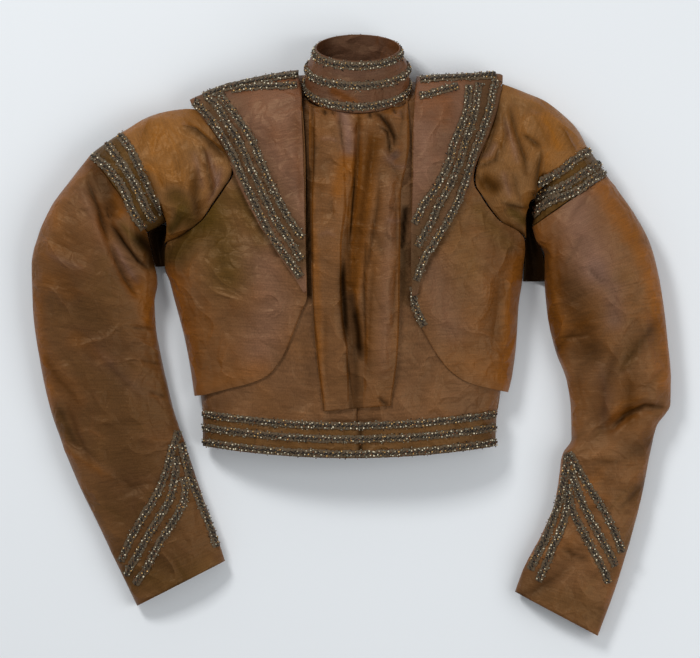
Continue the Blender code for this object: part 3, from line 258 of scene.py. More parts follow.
# Braid rows sewn on the revers, as plan points along their centre lines, as seen from above.
BRAIDS_ON_REVERS = {
    "revers_left_braid_outer": ((194.5, 102.5), (200, 108.5), (207, 115), (213, 123),
                                (219.5, 132.5), (226, 142.5), (232, 152.5), (237.5, 165),
                                (243, 178), (249, 191), (255.5, 205), (262, 218.5), (269, 232),
                                (277, 243.5), (285.5, 256), (294, 266.5), (301, 277)),
    "revers_left_braid_middle": ((207, 97), (213, 101.5), (220, 110), (227, 123.5), (235, 135),
                                 (240.5, 145), (245.5, 155), (250, 167), (255.5, 177.5),
                                 (260.5, 188), (265.5, 199), (271, 211), (277, 223), (284, 232.5),
                                 (290.5, 242), (297, 253), (302, 260)),
    "revers_left_braid_inner": ((219, 93.5), (226.5, 104), (235, 115), (241.5, 124.5), (248, 133.5),
                                (254.5, 146), (259.5, 159), (265, 171.5), (271, 184.5), (277, 197),
                                (283.5, 209.5), (290.5, 221), (297.5, 231), (302.5, 238)),
    "revers_right_braid_outer": ((496.5, 80), (492.5, 92), (490.5, 104.5), (487.5, 116),
                                 (483, 129), (476.5, 145), (471.5, 160.5), (467, 176),
                                 (462.5, 189), (457, 203), (449, 219), (441, 232),
                                 (433, 245), (425.5, 256), (420.5, 268), (416.2, 281)),
    "revers_right_braid_middle": ((479.5, 83), (476.5, 96), (475, 110), (471, 125.5), (465, 142),
                                  (461.5, 156), (456.5, 169), (452, 180.5), (446, 192.5),
                                  (439, 203.5), (434.5, 214.5), (429.5, 226), (423, 236.5),
                                  (417, 247)),
    "revers_right_braid_inner": ((469, 85), (468, 97), (466.5, 110), (461.5, 125), (456, 137.5),
                                 (452, 148), (449.5, 160.5), (444.5, 172), (439, 182.5),
                                 (432, 194), (424, 204), (419, 214), (413.5, 224)),
}
BRAIDS_ON_SHOULDER = {
    "shoulder_left_braid_top": ((203, 96), (213, 92), (225, 87.5), (240, 83.8), (255, 80.8),
                                (270, 77.8), (285, 75.6), (299, 74.2)),
    "shoulder_left_braid_low": ((231, 90), (245, 87.5), (262, 86.3), (280, 86), (297, 85.2)),
    "shoulder_right_braid_top": ((420, 79.2), (435, 78), (452, 77), (470, 76.2), (491, 75.8),
        (497, 76.4)),
    "shoulder_right_braid_low": ((419, 96.2), (427, 95), (437, 92), (447, 89), (458, 85.6)),
}
BOLERO_BRAID = ((413.4, 287), (413.6, 295), (414, 303), (416.5, 311), (420.5, 319.5), (424, 326))

# Waistband: rows of its top and bottom edges at the sides, and how far the middle dips.
BAND_TOP = 409.4
BAND_BOTTOM = 445.5
BAND_DIP = 12.5
BAND_MIDDLE = 350.0
BAND_HALF = 149.0
BAND_LOW = 12.0
BAND_SQUARE = 3.2
BAND_EDGE = 13.8
RING_OVER = 0.62

# Middle and half length in squares of the waist's braids, then the share of the band's depth
# at which each runs.
WAIST_LANE = (349.5, 144.5)
WAIST_BRAIDS = {"waist_braid_top": 0.1, "waist_braid_middle": 0.47, "waist_braid_bottom": 0.88}

# Sleeves: outer point, inner point, height, edge height, share of the armhole curve.
PUFF_LEFT = (
    (197, 109.5, 164.5, 242.5, 64, 22, 1.0), (188, 109, 165, 242, 67, 22, 0.86),
    (176, 110, 165.5, 239, 68, 22, 0.62), (160, 113, 166, 235, 67, 21, 0.38),
    (143, 119.5, 166.5, 230, 65, 20, 0.18), (129, 128, 167, 225, 62, 20, 0.05),
    (119.5, 133.5, 167, 221, 57, 20, 0.0),
)
PUFF_RIGHT = (
    (502, 84, 526, 238, 64, 22, 1.0), (512, 87.5, 526, 236, 67, 22, 0.86),
    (526, 93, 526, 230, 68, 22, 0.62), (544, 100.5, 526, 222, 67, 21, 0.4),
    (562, 114, 526.5, 213, 65, 20, 0.2), (577, 129, 528, 204, 62, 20, 0.07),
    (588, 148.5, 534, 194.6, 57, 20, 0.0),
)
BAND_LEFT = (
    (119, 133.9, 166.6, 221.6, 57, 20), (105, 143.5, 157, 227, 57, 20),
    (91, 154, 147.4, 231.8, 56, 20),
)
BAND_RIGHT = (
    (588.3, 149, 535, 195.8, 57, 20), (598, 162, 534.5, 211, 57, 20),
    (606, 174.5, 532, 226, 56, 20),
)
SLEEVE_LEFT = (
    (90.7, 154.4, 147, 232.2, 56, 20), (73, 177, 150.5, 247, 60, 20), (52, 206, 155, 266, 60, 20),
    (38, 236, 157.5, 284, 58, 19), (31.5, 266, 154.5, 303, 55, 18), (33, 312, 156, 329, 52, 17),
    (40, 362, 163, 366, 48, 16), (50, 408, 173, 408, 45, 15), (64, 448, 183.5, 440, 42, 14),
    (78, 483, 193, 468, 40, 14), (96, 520, 202, 495, 37, 13), (115, 560, 213, 525, 34, 12),
    (137, 606, 225, 561, 31, 11),
)
SLEEVE_RIGHT = (
    (606.6, 175.6, 532.2, 227.2, 56, 20), (619, 192, 536, 240, 60, 20),
    (637, 218, 545, 256, 60, 20),
    (651, 246, 545, 282, 57, 19), (661, 288, 547, 312, 54, 18), (667.5, 338, 555, 349, 51, 17),
    (671, 378, 567, 382, 48, 16), (670.5, 404, 571, 411, 46, 15), (656.5, 427, 571.5, 438, 43, 14),
    (650.5, 452, 562.5, 455, 42, 14), (641, 500, 556, 498, 39, 13), (630, 540, 541, 536, 36, 12),
    (617, 584, 523, 570, 33, 12), (598, 636, 515, 592, 31, 11),
)
ARM_BRAIDS = {
    "arm_band_right_braid_top": ((589.5, 151.5), (580, 156), (571, 162.5), (564, 168.5),
                                 (554.5, 175), (543, 180.5), (536, 184.5)),
    "arm_band_right_braid_middle": ((600, 163), (591.5, 168), (578, 177), (565, 185.5),
        (552.5, 191),
                                    (541, 195), (534.5, 199)),
    "arm_band_right_braid_low": ((604.5, 173), (594, 178), (584, 186), (572, 193), (560, 197.5),
                                 (549, 201.5), (539.5, 208.5), (532.5, 216)),
    "arm_band_left_braid_top": ((119.5, 135.5), (124, 140.5), (131, 149.5), (136, 160),
                                (141.5, 171), (147, 182), (152, 193), (158, 203.5), (163, 213.5)),
    "arm_band_left_braid_middle": ((107, 144), (114.5, 154), (122.5, 165), (130.5, 176.5),
                                   (137, 189), (143, 200.5), (148, 211.5), (154, 221)),
    "arm_band_left_braid_low": ((93, 156), (98.5, 160.5), (106.5, 167), (114.5, 176.5),
                                (122, 186), (127.5, 198), (132, 210.5), (138, 221.5),
                                (144, 229)),
}
# Rows and directions in degrees of the small creases strewn over the lower sleeves.
SLEEVE_ROWS = (170.0, 590.0)
SLEEVE_SLANTS = {"left": (20, 62), "right": (118, 160)}

# Large folds of the lower sleeves: four plan points, depth in mm and half width in squares.
SLEEVE_FOLDS = {
    "left": (((106, 222), (114, 243), (124, 266), (134, 284), 7.0, 9.0),),
    "right": (((612, 426), (624, 416), (640, 410), (668, 408), 7.0, 6.0),),
}
CUFF_BRAIDS = {
    "cuff_left_braid_1": ((177.5, 431), (175, 440), (172, 450), (168.5, 464), (163, 481),
                          (154, 499), (144, 515), (135.5, 530), (127, 547), (121, 561)),
    "cuff_left_braid_2": ((176.5, 456), (176, 468), (174, 482), (170, 498), (161.5, 514),
                          (152, 529), (143, 545), (134, 561), (126, 575)),
    "cuff_left_braid_3": ((183, 477), (185, 488), (183, 501), (177.5, 514), (169, 528),
                          (160.5, 541), (152.5, 556), (145.5, 570), (135, 584)),
    "cuff_left_braid_4": ((180.5, 443), (184.5, 456), (188.5, 472), (194, 488), (200.5, 504),
                          (207, 520), (213, 535), (217, 547)),
    "cuff_right_braid_1": ((569.5, 453), (575, 463), (584, 479), (594, 495), (603, 510),
                           (611, 525), (617, 539), (621.5, 552)),
    "cuff_right_braid_2": ((571, 470), (576, 486), (582.5, 503), (591, 520), (599.5, 536),
                           (608, 551), (615, 566)),
    "cuff_right_braid_3": ((569, 490), (571.5, 508), (578, 523), (586, 538), (594.5, 553),
                           (602, 567), (608.5, 583)),
    "cuff_right_braid_4": ((568.5, 453), (567, 466), (564.5, 484), (559.5, 503), (552.5, 522),
                           (545, 541), (535.5, 560), (530.5, 570)),
    "cuff_right_braid_5": ((568, 484), (568, 500), (565, 516), (560, 532), (553.5, 547),
                           (547, 562), (538, 581)),
}

# Low scraps of cloth under each arm: row, inner column, outer column.
UNDERARM_LEFT = (
    (226, 160.4, 165.2), (230, 152.6, 165.2), (234, 148.9, 165), (241, 150.2, 164.2),
    (248, 152, 164.6), (257, 154, 164.4), (266.5, 156.4, 164.2),
)
UNDERARM_RIGHT = (
    (202, 530, 534), (212, 527.4, 533.6), (222, 526.8, 532), (231, 526.8, 532),
    (239, 526.2, 535), (250, 524, 540.6), (262, 525.2, 543.6), (272, 524.6, 544.2),
    (281.5, 523.8, 544.6),
)
# Height in mm that a scrap's sag stops at, its sag in mm for each square of its width, mm added to
# its height, and its warmth, shade and mauve: olive, with heavy painted shade under the arm.
UNDERARM_LOW = 3.0
UNDERARM_SAG = 0.9
UNDERARM_FACE = 0.8
UNDERARM_TINT = (-0.4, 0.8, 0.0)



def curve(keys: Array, values: Array, slopes: Array, at: Array) -> Array:
    """Read a cubic curve that has given values and slopes at its keys.

    Args:
        keys: rising keys.
        values: value at each key.
        slopes: slope at each key.
        at: keys to read at.

    Returns:
        One value for each entry of at.
    """
    spot = np.clip(np.searchsorted(keys, at) - 1, 0, len(keys) - 2)
    step = keys[spot + 1] - keys[spot]
    part = np.clip((at - keys[spot]) / step, 0.0, 1.0)
    square = part * part
    cube = square * part
    return (
        (2 * cube - 3 * square + 1) * values[spot]
        + (cube - 2 * square + part) * step * slopes[spot]
        + (3 * square - 2 * cube) * values[spot + 1]
        + (cube - square) * step * slopes[spot + 1]
    )


def ramp(value: Array, start: float, finish: float) -> Array:
    """Share of the way from start to finish, from 0 to 1."""
    return np.clip((value - start) / (finish - start), 0.0, 1.0)


def running(points: Array) -> Array:
    """Length of a line up to each of its points."""
    return np.concatenate(([0.0], np.cumsum(np.linalg.norm(np.diff(points, axis=0), axis=1))))


def ring_turn(around: Array, over: float) -> tuple[Array, Array, Array]:
    """Angle, share across and upper side flag at a place round a ring, from 0 to 1."""
    upper = around < over
    turn = np.where(upper, around / over, (1.0 - around) / (1.0 - over)) * math.pi
    return turn, (1.0 - np.cos(turn)) / 2.0, upper


def eased(keys: Array, values: Array, at: Array) -> Array:
    """Read a table between its rows with a smooth curve that never overshoots.

    Args:
        keys: rising key of each row.
        values: value of each row.
        at: keys to read at.

    Returns:
        One value for each entry of at.
    """
    keys = np.asarray(keys, float)
    values = np.asarray(values, float)
    at = np.asarray(at, float)
    steps = np.diff(keys)
    slopes = np.diff(values) / steps
    product = slopes[:-1] * slopes[1:]
    total = np.where(product > 0, slopes[:-1] + slopes[1:], 1.0)
    middle = np.where(product > 0, 2.0 * product / total, 0.0)
    tangents = np.concatenate(([slopes[0]], middle, [slopes[-1]]))
    return curve(keys, values, tangents, at)


def read(table: Table, column: int, at: Array) -> Array:
    """Read one column of a table by its first column."""
    rows = np.asarray(table, float)
    return eased(rows[:, 0], rows[:, column], at)


def read_rows(table: Table, column: int, at: Array) -> Array:
    """Read one column of a table by the number of its row, which may be a fraction."""
    rows = np.asarray([row[:4] for row in table], float)
    return eased(np.arange(len(rows)), rows[:, column], at)


def place(column: Array, row: Array, height: Array) -> Array:
    """Turn draft squares and mm of height into mm about the jacket's middle."""
    column, row, height = np.broadcast_arrays(column, row, height)
    across = (column - CENTRE_COLUMN) * SQUARE
    along = (CHEST_ROW - row) * SQUARE
    return np.stack((across, along, height), axis=-1)


def moved_out(surface: Surface, a: Array, b: Array, lift: Array, nudge: tuple[float, float],
              hand: float = 1.0) -> Array:
    """Points of a surface moved out along its normal.

    Args:
        surface: turns two parameters into points in mm.
        a: first parameter.
        b: second parameter.
        lift: distance out, in mm.
        nudge: small step of each parameter, to find the normal with.
        hand: 1 or -1, which side of the surface is out.

    Returns:
        Points in mm, one row of three for each parameter pair.
    """
    along_a = surface(a + nudge[0], b) - surface(a - nudge[0], b)
    along_b = surface(a, b + nudge[1]) - surface(a, b - nudge[1])
    normal = np.cross(along_b, along_a) * hand
    length = np.maximum(np.linalg.norm(normal, axis=-1, keepdims=True), 1e-9)
    return surface(a, b) + normal / length * np.asarray(lift)[..., None]


def nearest_on(path: Path, column: Array, row: Array) -> tuple[Array, Array]:
    """Find how far plan points are from a path.

    Args:
        path: plan points along it, in squares.
        column: plan columns.
        row: plan rows.

    Returns:
        Distances in squares, and where along the path the nearest spots lie, from 0 to 1.
    """
    knots = np.asarray(path, float)
    runs = np.linalg.norm(np.diff(knots, axis=0), axis=1)
    whole = runs.sum()
    best = np.full(np.shape(column), 1e9)
    along = np.zeros(np.shape(column))
    gone = 0.0
    for start, finish, run in zip(knots[:-1], knots[1:], runs):
        step = finish - start
        part = ((column - start[0]) * step[0] + (row - start[1]) * step[1]) / (run * run)
        part = np.clip(part, 0.0, 1.0)
        away = np.hypot(column - start[0] - step[0] * part, row - start[1] - step[1] * part)
        nearer = away < best
        best = np.where(nearer, away, best)
        along = np.where(nearer, (gone + run * part) / whole, along)
        gone += run
    return best, along


def band_dip(column: Array) -> Array:
    """Squares by which the waistband runs lower at a column than at its ends."""
    share = (column - BAND_MIDDLE) / BAND_HALF
    return BAND_DIP * (1.0 - np.clip(share * share, 0.0, 1.0))


@dataclass(frozen=True)
class Crease:
    """A soft trough or ridge in the cloth, or only a change of its colour.

    Attributes:
        path: plan points along it, in squares.
        depth: mm that the cloth stands proud, or sinks where it is negative.
        width: half width in squares.
        warm: how far the shot colour turns to orange bronze, or to olive where negative.
            Bronze on tilted flanks is painted sheen; olive is painted shade in some hollows
            and the cloth's own cast elsewhere.
        shade: painted shade, how much darker the cloth is there: mostly in creases, gaps and
            hollows, in a few places the cloth's own darker tone.
        point: how sharp its line is, from 1 for a crisp one to 2 for a soft one.
        mauve: how far the shot colour turns to mauve: a painted highlight on crests and ridges,
            elsewhere the shot weave's mauve cast.
    """

    path: Path
    depth: float
    width: float
    warm: float = 0.0
    shade: float = 0.0
    point: float = 1.15
    mauve: float = 0.0

    def nearness(self, column: Array, row: Array) -> Array:
        """How near each plan point is to the crease, from 0 to 1, fading toward its ends."""
        if len(self.path) == 1:
            away = np.hypot(column - self.path[0][0], row - self.path[0][1])
            return np.exp(-((away / self.width) ** 2))
        away, along = nearest_on(self.path, column, row)
        taper = 1.0
        if self.depth:
            taper = np.clip(np.minimum(along, 1.0 - along) * 4.0, 0.0, 1.0) ** 0.6
        return np.exp(-((away / self.width) ** self.point)) * taper


def creases(*rows: tuple) -> tuple[Crease, ...]:
    """Make creases from rows that list their values in order."""
    return tuple(Crease(*row) for row in rows)


@dataclass
class Lie:
    """How one panel's cloth lies: all of its creases together."""

    creases: list[Crease] = field(default_factory=list)

    def relief(self, column: Array, row: Array) -> tuple[Array, Array]:
        """Height in mm that the creases give at plan points, with the cloth's tint there.

        Args:
            column: plan columns.
            row: plan rows.

        Returns:
            Heights, and one row of warmth, shade and mauve for each point.
        """
        lift = np.zeros(np.shape(column))
        tint = np.zeros((3, *np.shape(column)))
        for crease in self.creases:
            near = crease.nearness(column, row)
            lift = lift + crease.depth * near
            tint[0] += crease.warm * near
            tint[1] = np.maximum(tint[1], crease.shade * near)
            tint[2] += crease.mauve * near
        return lift, tint.T

    def scatter(self, seed: int, count: int, box: tuple[float, float, float, float],
                slant: tuple[float, float], run: tuple[float, float], depth: float,
                width: tuple[float, float]) -> "Lie":
        """Add small creases strewn over a box of the plan.

        Args:
            seed: start of the random numbers.
            count: how many creases.
            box: least and greatest column, least and greatest row.
            slant: least and greatest direction in degrees, 0 along a row of the plan.
            run: least and greatest length in squares.
            depth: greatest depth in mm.
            width: least and greatest half width in squares.

        Returns:
            This lie, so that calls can be chained.
        """
        rng = np.random.default_rng(seed)
        for _ in range(count):
            column = rng.uniform(box[0], box[1])
            row = rng.uniform(box[2], box[3])
            turn = math.radians(rng.uniform(*slant))
            half = rng.uniform(*run) / 2.0
            bend = rng.uniform(-0.25, 0.25) * half
            step = (math.cos(turn) * half, math.sin(turn) * half)
            path = (
                (column - step[0], row - step[1]),
                (column - step[1] / half * bend, row + step[0] / half * bend),
                (column + step[0], row + step[1]),
            )
            proud = rng.uniform(0.35, 1.0) * depth * (1.0 if rng.random() < 0.5 else -1.0)
            # Troughs get painted shade in step with the depth given for the set.
            self.creases.append(
                Crease(path, proud, rng.uniform(*width), rng.uniform(-0.16, 0.18) * depth,
                       0.13 * depth if proud < 0 else 0.0)
            )
        return self


@dataclass(frozen=True)
class BodyForm:
    """The lightly filled body, as heights over the plan.

    Attributes:
        neck_reach: squares over which the body is drawn in to the neck ring.
        shoulder_round: squares that the shoulder takes to round off.
        clear: squares that a point is kept from the shoulder seam.
    """

    neck_reach: float = NECK_REACH
    shoulder_round: float = SHOULDER_ROUND
    clear: float = 0.05

    def shell_height(self, column: Array, row: Array) -> Array:
        """Height of the upper side before the neck is drawn in."""
        left = read(LEFT_SIDE, 1, row)
        right = read(RIGHT_SIDE, 1, row)
        middle = (left + right) / 2.0
        reach = (right - left) / 2.0
        share = np.clip((column - middle) / reach, -1.0, 1.0)
        edge = np.where(share < 0, read(LEFT_SIDE, 2, row), read(RIGHT_SIDE, 2, row))
        swell = (1.0 - np.abs(share) ** read(CROWN, 2, row)) ** (1.0 / read(CROWN, 3, row))
        full = edge + (read(CROWN, 1, row) - edge) * swell
        depth = row - read(SHOULDER, 1, column)
        rise = np.sqrt(1.0 - (1.0 - np.clip(depth / self.shoulder_round, 0.0, 1.0)) ** 2)
        seam = read(SHOULDER, 2, column)
        return seam + (full - seam) * rise

    def front(self, column: Array, row: Array) -> Array:
        """Points of the upper side, drawn in to the neck ring."""
        column, row = np.broadcast_arrays(np.asarray(column, float), np.asarray(row, float))
        across = (column - NECK_COLUMN) / NECK_ACROSS
        along = (row - NECK_ROW) / NECK_ALONG
        turn = np.maximum(np.hypot(across, along), 1e-6)
        ring_column = NECK_COLUMN + NECK_ACROSS * across / turn
        ring_row = NECK_ROW + NECK_ALONG * along / turn
        ring_height = NECK_HEIGHT + NECK_DEPTH * along / turn
        gap = np.hypot(column - ring_column, row - ring_row)
        pull = np.exp(-((gap / self.neck_reach) ** 2))
        drawn = (ring_height - self.shell_height(ring_column, ring_row)) * pull
        return place(column, row, self.shell_height(column, row) + drawn)

    def under(self, column: Array, row: Array) -> Array:
        """Points of the under side, flat where it rests."""
        left = read(LEFT_SIDE, 1, row)
        right = read(RIGHT_SIDE, 1, row)
        inset = np.minimum(column - left, right - column)
        share = (column - left) / (right - left)
        edge = np.where(share < 0.5, read(LEFT_SIDE, 2, row), read(RIGHT_SIDE, 2, row))
        edge = np.minimum(edge, BACK_EDGE_MOST) - BACK_EDGE_DROP
        side = edge * (1.0 - np.clip(inset / BACK_ROUND, 0.0, 1.0)) ** 2
        depth = row - read(SHOULDER, 1, column)
        seam = read(SHOULDER, 2, column) - BACK_SEAM_DROP
        top = seam * (1.0 - np.clip(depth / BACK_ROUND, 0.0, 1.0)) ** 2
        return place(column, row, np.maximum(side, top))

    def waist(self, column: Array, row: Array) -> Array:
        """Points of the upper side at the waistband, whose rows dip at the middle."""
        level = row - band_dip(column)
        left = read(LEFT_SIDE, 1, level)
        right = read(RIGHT_SIDE, 1, level)
        share = np.clip((column - left) / (right - left) * 2 - 1, -1, 1)
        swell = np.sqrt(1.0 - np.abs(share) ** BAND_SQUARE)
        return place(column, row, BAND_LOW + (read(CROWN, 1, level) - BAND_LOW) * swell)

    def on_front(self, column: Array, row: Array, lift: Array) -> Array:
        """Points a number of mm above the upper side."""
        return moved_out(self.front, column, row, lift, (0.04, 0.04))

    def seen_at(self, column: Array, row: Array, lift: Array) -> Array:
        """Points above the upper side that are seen from above at plan points."""
        spot = np.array([column, row])
        for _ in range(4):
            spot[1] = np.maximum(spot[1], read(SHOULDER, 1, spot[0]) + self.clear)
            points = self.on_front(spot[0], spot[1], lift)
            spot[0] += column - (points[:, 0] / SQUARE + CENTRE_COLUMN)
            spot[1] += row - (CHEST_ROW - points[:, 1] / SQUARE)
        spot[1] = np.maximum(spot[1], read(SHOULDER, 1, spot[0]) + self.clear)
        return self.on_front(spot[0], spot[1], lift)


def band_row(column: Array, down: Array) -> Array:
    """Row of the waistband at a share of its depth."""
    return BAND_TOP + (BAND_BOTTOM - BAND_TOP) * down + band_dip(column)


@dataclass(frozen=True)
class SleeveForm:
    """A tube of cloth through measured stations, laid flat underneath.

    Attributes:
        stations: outer point, inner point, height and edge height of each ring.
        side: the body's side that a sleeve head meets, if it does.
        folds: large folds of the tube: four plan points, then depth and half width.
        over: share of the ring that is its upper side.
    """

    stations: Table
    side: Optional[Table] = None
    folds: tuple = ()
    over: float = RING_OVER

    @property
    def last(self) -> float:
        """Number of the last station."""
        return float(len(self.stations) - 1)

    def value(self, index: int, at: Array) -> Array:
        """One column of the stations at fractional station numbers."""
        rows = np.asarray(self.stations, float)
        return eased(np.arange(len(rows)), rows[:, index], np.clip(at, 0.0, self.last))

    def armhole(self, share: Array, under: Array, at: Array) -> Array:
        """How far the armhole seam stands off the straight line across it."""
        start = self.stations[0][0:2]
        finish = self.stations[0][2:4]
        line = start[1] + (finish[1] - start[1]) * share
        straight = start[0] + (finish[0] - start[0]) * share
        gap = -ARMHOLE_GAP if self.side is LEFT_SIDE else ARMHOLE_GAP
        stand = read(self.side, 1, line) + gap - straight
        bend = self.value(6, at) * np.where(under, ARMHOLE_UNDER, 1.0)
        return bend * stand * np.sqrt(np.clip(share * (1 - share) * 40, 0, 1))

    def plan(self, at: Array, share: Array, under: Array) -> tuple[Array, Array]:
        """Column and row of a point at a station and a share across."""
        column = self.value(0, at) + (self.value(2, at) - self.value(0, at)) * share
        row = self.value(1, at) + (self.value(3, at) - self.value(1, at)) * share
        if self.side is not None:
            column = column + self.armhole(share, under, at)
        return column, row

    def turn_of(self, around: Array) -> tuple[Array, Array, Array]:
        """Angle, share across and upper side flag at a place round the ring, from 0 to 1."""
        return ring_turn(np.mod(around, 1.0), self.over)

    def seam(self, row: Array, top: Array, at: Array) -> Array:
        """Heights blended toward the body's own side along the armhole."""
        if self.side is None:
            return top
        blend = self.value(6, at) ** 2
        return top * (1.0 - blend) + (read(self.side, 2, row) + ARMHOLE_RISE) * blend

    def surface(self, at: Array, around: Array) -> Array:
        """Points of the tube in mm."""
        at, around = np.broadcast_arrays(np.asarray(at, float), np.asarray(around, float))
        turn, share, upper = self.turn_of(around)
        column, row = self.plan(at, share, ~upper)
        edge = self.value(5, at)
        sine = np.abs(np.sin(turn))
        top = self.seam(row, edge + (self.value(4, at) - edge) * sine ** TUBE_SQUARE, at)
        top = top - self.sunk(column, row) * sine ** 0.5
        ends = np.where(share < 0.5, 0.0, 1.0)
        _, end_row = self.plan(at, ends, ~upper)
        low = self.seam(end_row, edge, at) * np.clip(1.0 - (sine / TUBE_REST) ** 0.7, 0.0, 1.0)
        return place(column, row, np.where(upper, top, low))

    def sunk(self, column: Array, row: Array) -> Array:
        """Depth of the large folds under a plan point."""
        depth = np.zeros(np.shape(column))
        for fold in self.folds:
            nearest, _ = nearest_on(fold[:4], column, row)
            depth = np.maximum(depth, fold[4] * np.exp(-((nearest / fold[5]) ** 2)))
        return depth

    @property
    def hand(self) -> float:
        """Which way round the tube's normal has to be taken to point out."""
        return 1.0 if self.stations[0][2] > self.stations[0][0] else -1.0

    def lifted(self, at: Array, around: Array, lift: Array) -> Array:
        """Points a number of mm outside the tube."""
        return moved_out(self.surface, at, around, lift, (0.02, 0.004), -self.hand)

    def locate(self, column: Array, row: Array) -> tuple[Array, Array]:
        """Station and place round the ring at which plan points lie on the upper side."""
        low = np.zeros(np.shape(column))
        high = np.full(np.shape(column), self.last)
        for _ in range(HALVINGS):
            at = (low + high) / 2.0
            run = (self.value(2, at) - self.value(0, at), self.value(3, at) - self.value(1, at))
            off = (column - self.value(0, at), row - self.value(1, at))
            forward = (off[0] * run[1] - off[1] * run[0]) * self.hand < 0
            low = np.where(forward, at, low)
            high = np.where(forward, high, at)
        length = run[0] ** 2 + run[1] ** 2
        share = np.clip((off[0] * run[0] + off[1] * run[1]) / length, 0.004, 0.996)
        return at, np.arccos(1.0 - 2.0 * share) / math.pi * self.over


def collar_point(turn: Array, up: Array, lift: Array) -> Array:
    """Point of the collar.

    Args:
        turn: angle from the front centre, in radians.
        up: share of the collar's height.
        lift: mm outward.

    Returns:
        Points in mm.
    """
    half = eased(COLLAR_SHARES, COLLAR_HALVES, up)
    along = COLLAR_ALONG[0] + (COLLAR_ALONG[1] - COLLAR_ALONG[0]) * up
    rise = COLLAR_RISE + (COLLAR_TOP_RISE - COLLAR_RISE) * up
    scale = 1.0 + np.asarray(lift) / COLLAR_RADIUS
    column = NECK_COLUMN + COLLAR_SHIFT * up + half * scale * np.sin(turn)
    row = COLLAR_ROWS[0] + (COLLAR_ROWS[1] - COLLAR_ROWS[0]) * up + along * scale * np.cos(turn)
    height = COLLAR_HEIGHT + COLLAR_TILT * up + rise * scale * np.cos(turn)
    return place(column, row, height)



# Creases, listed one by one: path, depth in mm, half width in squares, warmth, shade, sharpness,
# mauve.
LEFT_FRONT_CREASES = creases(
    (((215, 205), (222, 240), (228, 275)), 0.0, 20.0, -0.75, 0.16, 2.0),
    (((240, 195), (250, 215), (262, 240)), 0.0, 10.0, -0.5, 0.10, 2.0),
    (((203, 215), (185, 245), (172, 262)), 0.0, 13.0, -0.8, 0.25, 2.0),
    (((172, 268), (181, 310), (194, 372)), 0.0, 8.0, 0.75, 0.05, 2.0),
    (((200, 388), (230, 380), (262, 366)), 0.0, 10.0, 0.3, 0.0, 2.0),
    (((262, 262), (275, 300), (262, 345)), 0.0, 22.0, 0.0, 0.0, 2.0, 0.45),
    (((214, 232), (226, 290), (232, 360)), -1.5, 9.0, 0.0, 0.05),
    (((250, 250), (262, 300), (256, 360)), 1.6, 12.0),
    (((180, 262), (205, 268), (232, 262)), -1.0, 4.0, 0.0, 0.10),
    (((196, 300), (200, 340), (206, 380)), 1.2, 7.0, 0.1),
    (((255, 320), (280, 326), (300, 318)), 0.8, 2.5),
    (((232, 172), (248, 205), (262, 232), (278, 255)), 0.0, 3.0, 0.0, 0.45, 1.6),
)
RIGHT_FRONT_CREASES = creases(
    (((478, 210), (490, 228), (505, 245)), 0.0, 10.0, -0.45, 0.0, 2.0),
    (((455, 220), (462, 245), (470, 270)), 0.0, 16.0, -0.2, 0.0, 2.0),
    (((514, 262), (508, 310), (502, 375)), 0.0, 8.0, 0.75, 0.08, 2.0),
    (((448, 345), (475, 362), (500, 378)), 0.0, 14.0, 0.3, 0.0, 2.0),
    (((430, 270), (440, 300), (450, 330)), 0.0, 16.0, 0.0, 0.0, 2.0, 0.35),
    (((486, 235), (478, 290), (470, 360)), 1.6, 10.0),
    (((502, 250), (496, 310), (488, 370)), -1.4, 7.0, 0.0, 0.10),
    (((448, 262), (440, 300), (446, 340)), -1.2, 8.0, 0.0, 0.06),
    (((424, 300), (440, 292), (458, 296)), 0.9, 2.6),
    (((462, 200), (450, 222), (438, 245), (425, 270)), 0.0, 3.0, 0.0, 0.35, 1.6),
)
REVERS_CREASES = creases(
    (((214, 106), (240, 148), (272, 202), (303, 258)), 0.0, 17.0, -0.7, 0.16, 2.0),
    (((488, 90), (474, 134), (452, 182), (420, 236), (412, 280)), 0.0, 17.0, -0.7, 0.20, 2.0),
    (((268, 110), (283, 150), (296, 190)), 0.8, 9.0, 0.2),
    (((297, 100), (299, 150), (301, 210)), -0.5, 4.0, 0.3, 0.12),
    (((440, 95), (445, 110), (440, 135)), 0.5, 12.0, 0.35, 0.1),
    (((420, 120), (424, 160), (420, 190)), 0.7, 8.0, 0.0, 0.0, 1.15, 0.3),
)
FOUNDATION_CREASES = creases(
    (((250, 400), (300, 395), (340, 380)), 0.0, 30.0, 0.1, 0.0),
    (((300, 330), (310, 370), (312, 405)), -0.6, 5.0, 0.0, 0.15),
    (((302, 96), (304, 150), (307, 200), (309, 250), (310, 296)), 0.0, 4.2, 0.2, 0.85, 2.2),
    (((405.5, 210), (404, 226), (402.5, 246)), 0.0, 3.2, 0.0, 0.9, 2.0),
    (((403, 246), (404, 275), (405, 300)), 0.0, 5.0, -0.3, 0.5, 2.0),
    (((322, 420), (350, 424), (384, 418)), -0.8, 2.6, 0.0, 0.4),
)
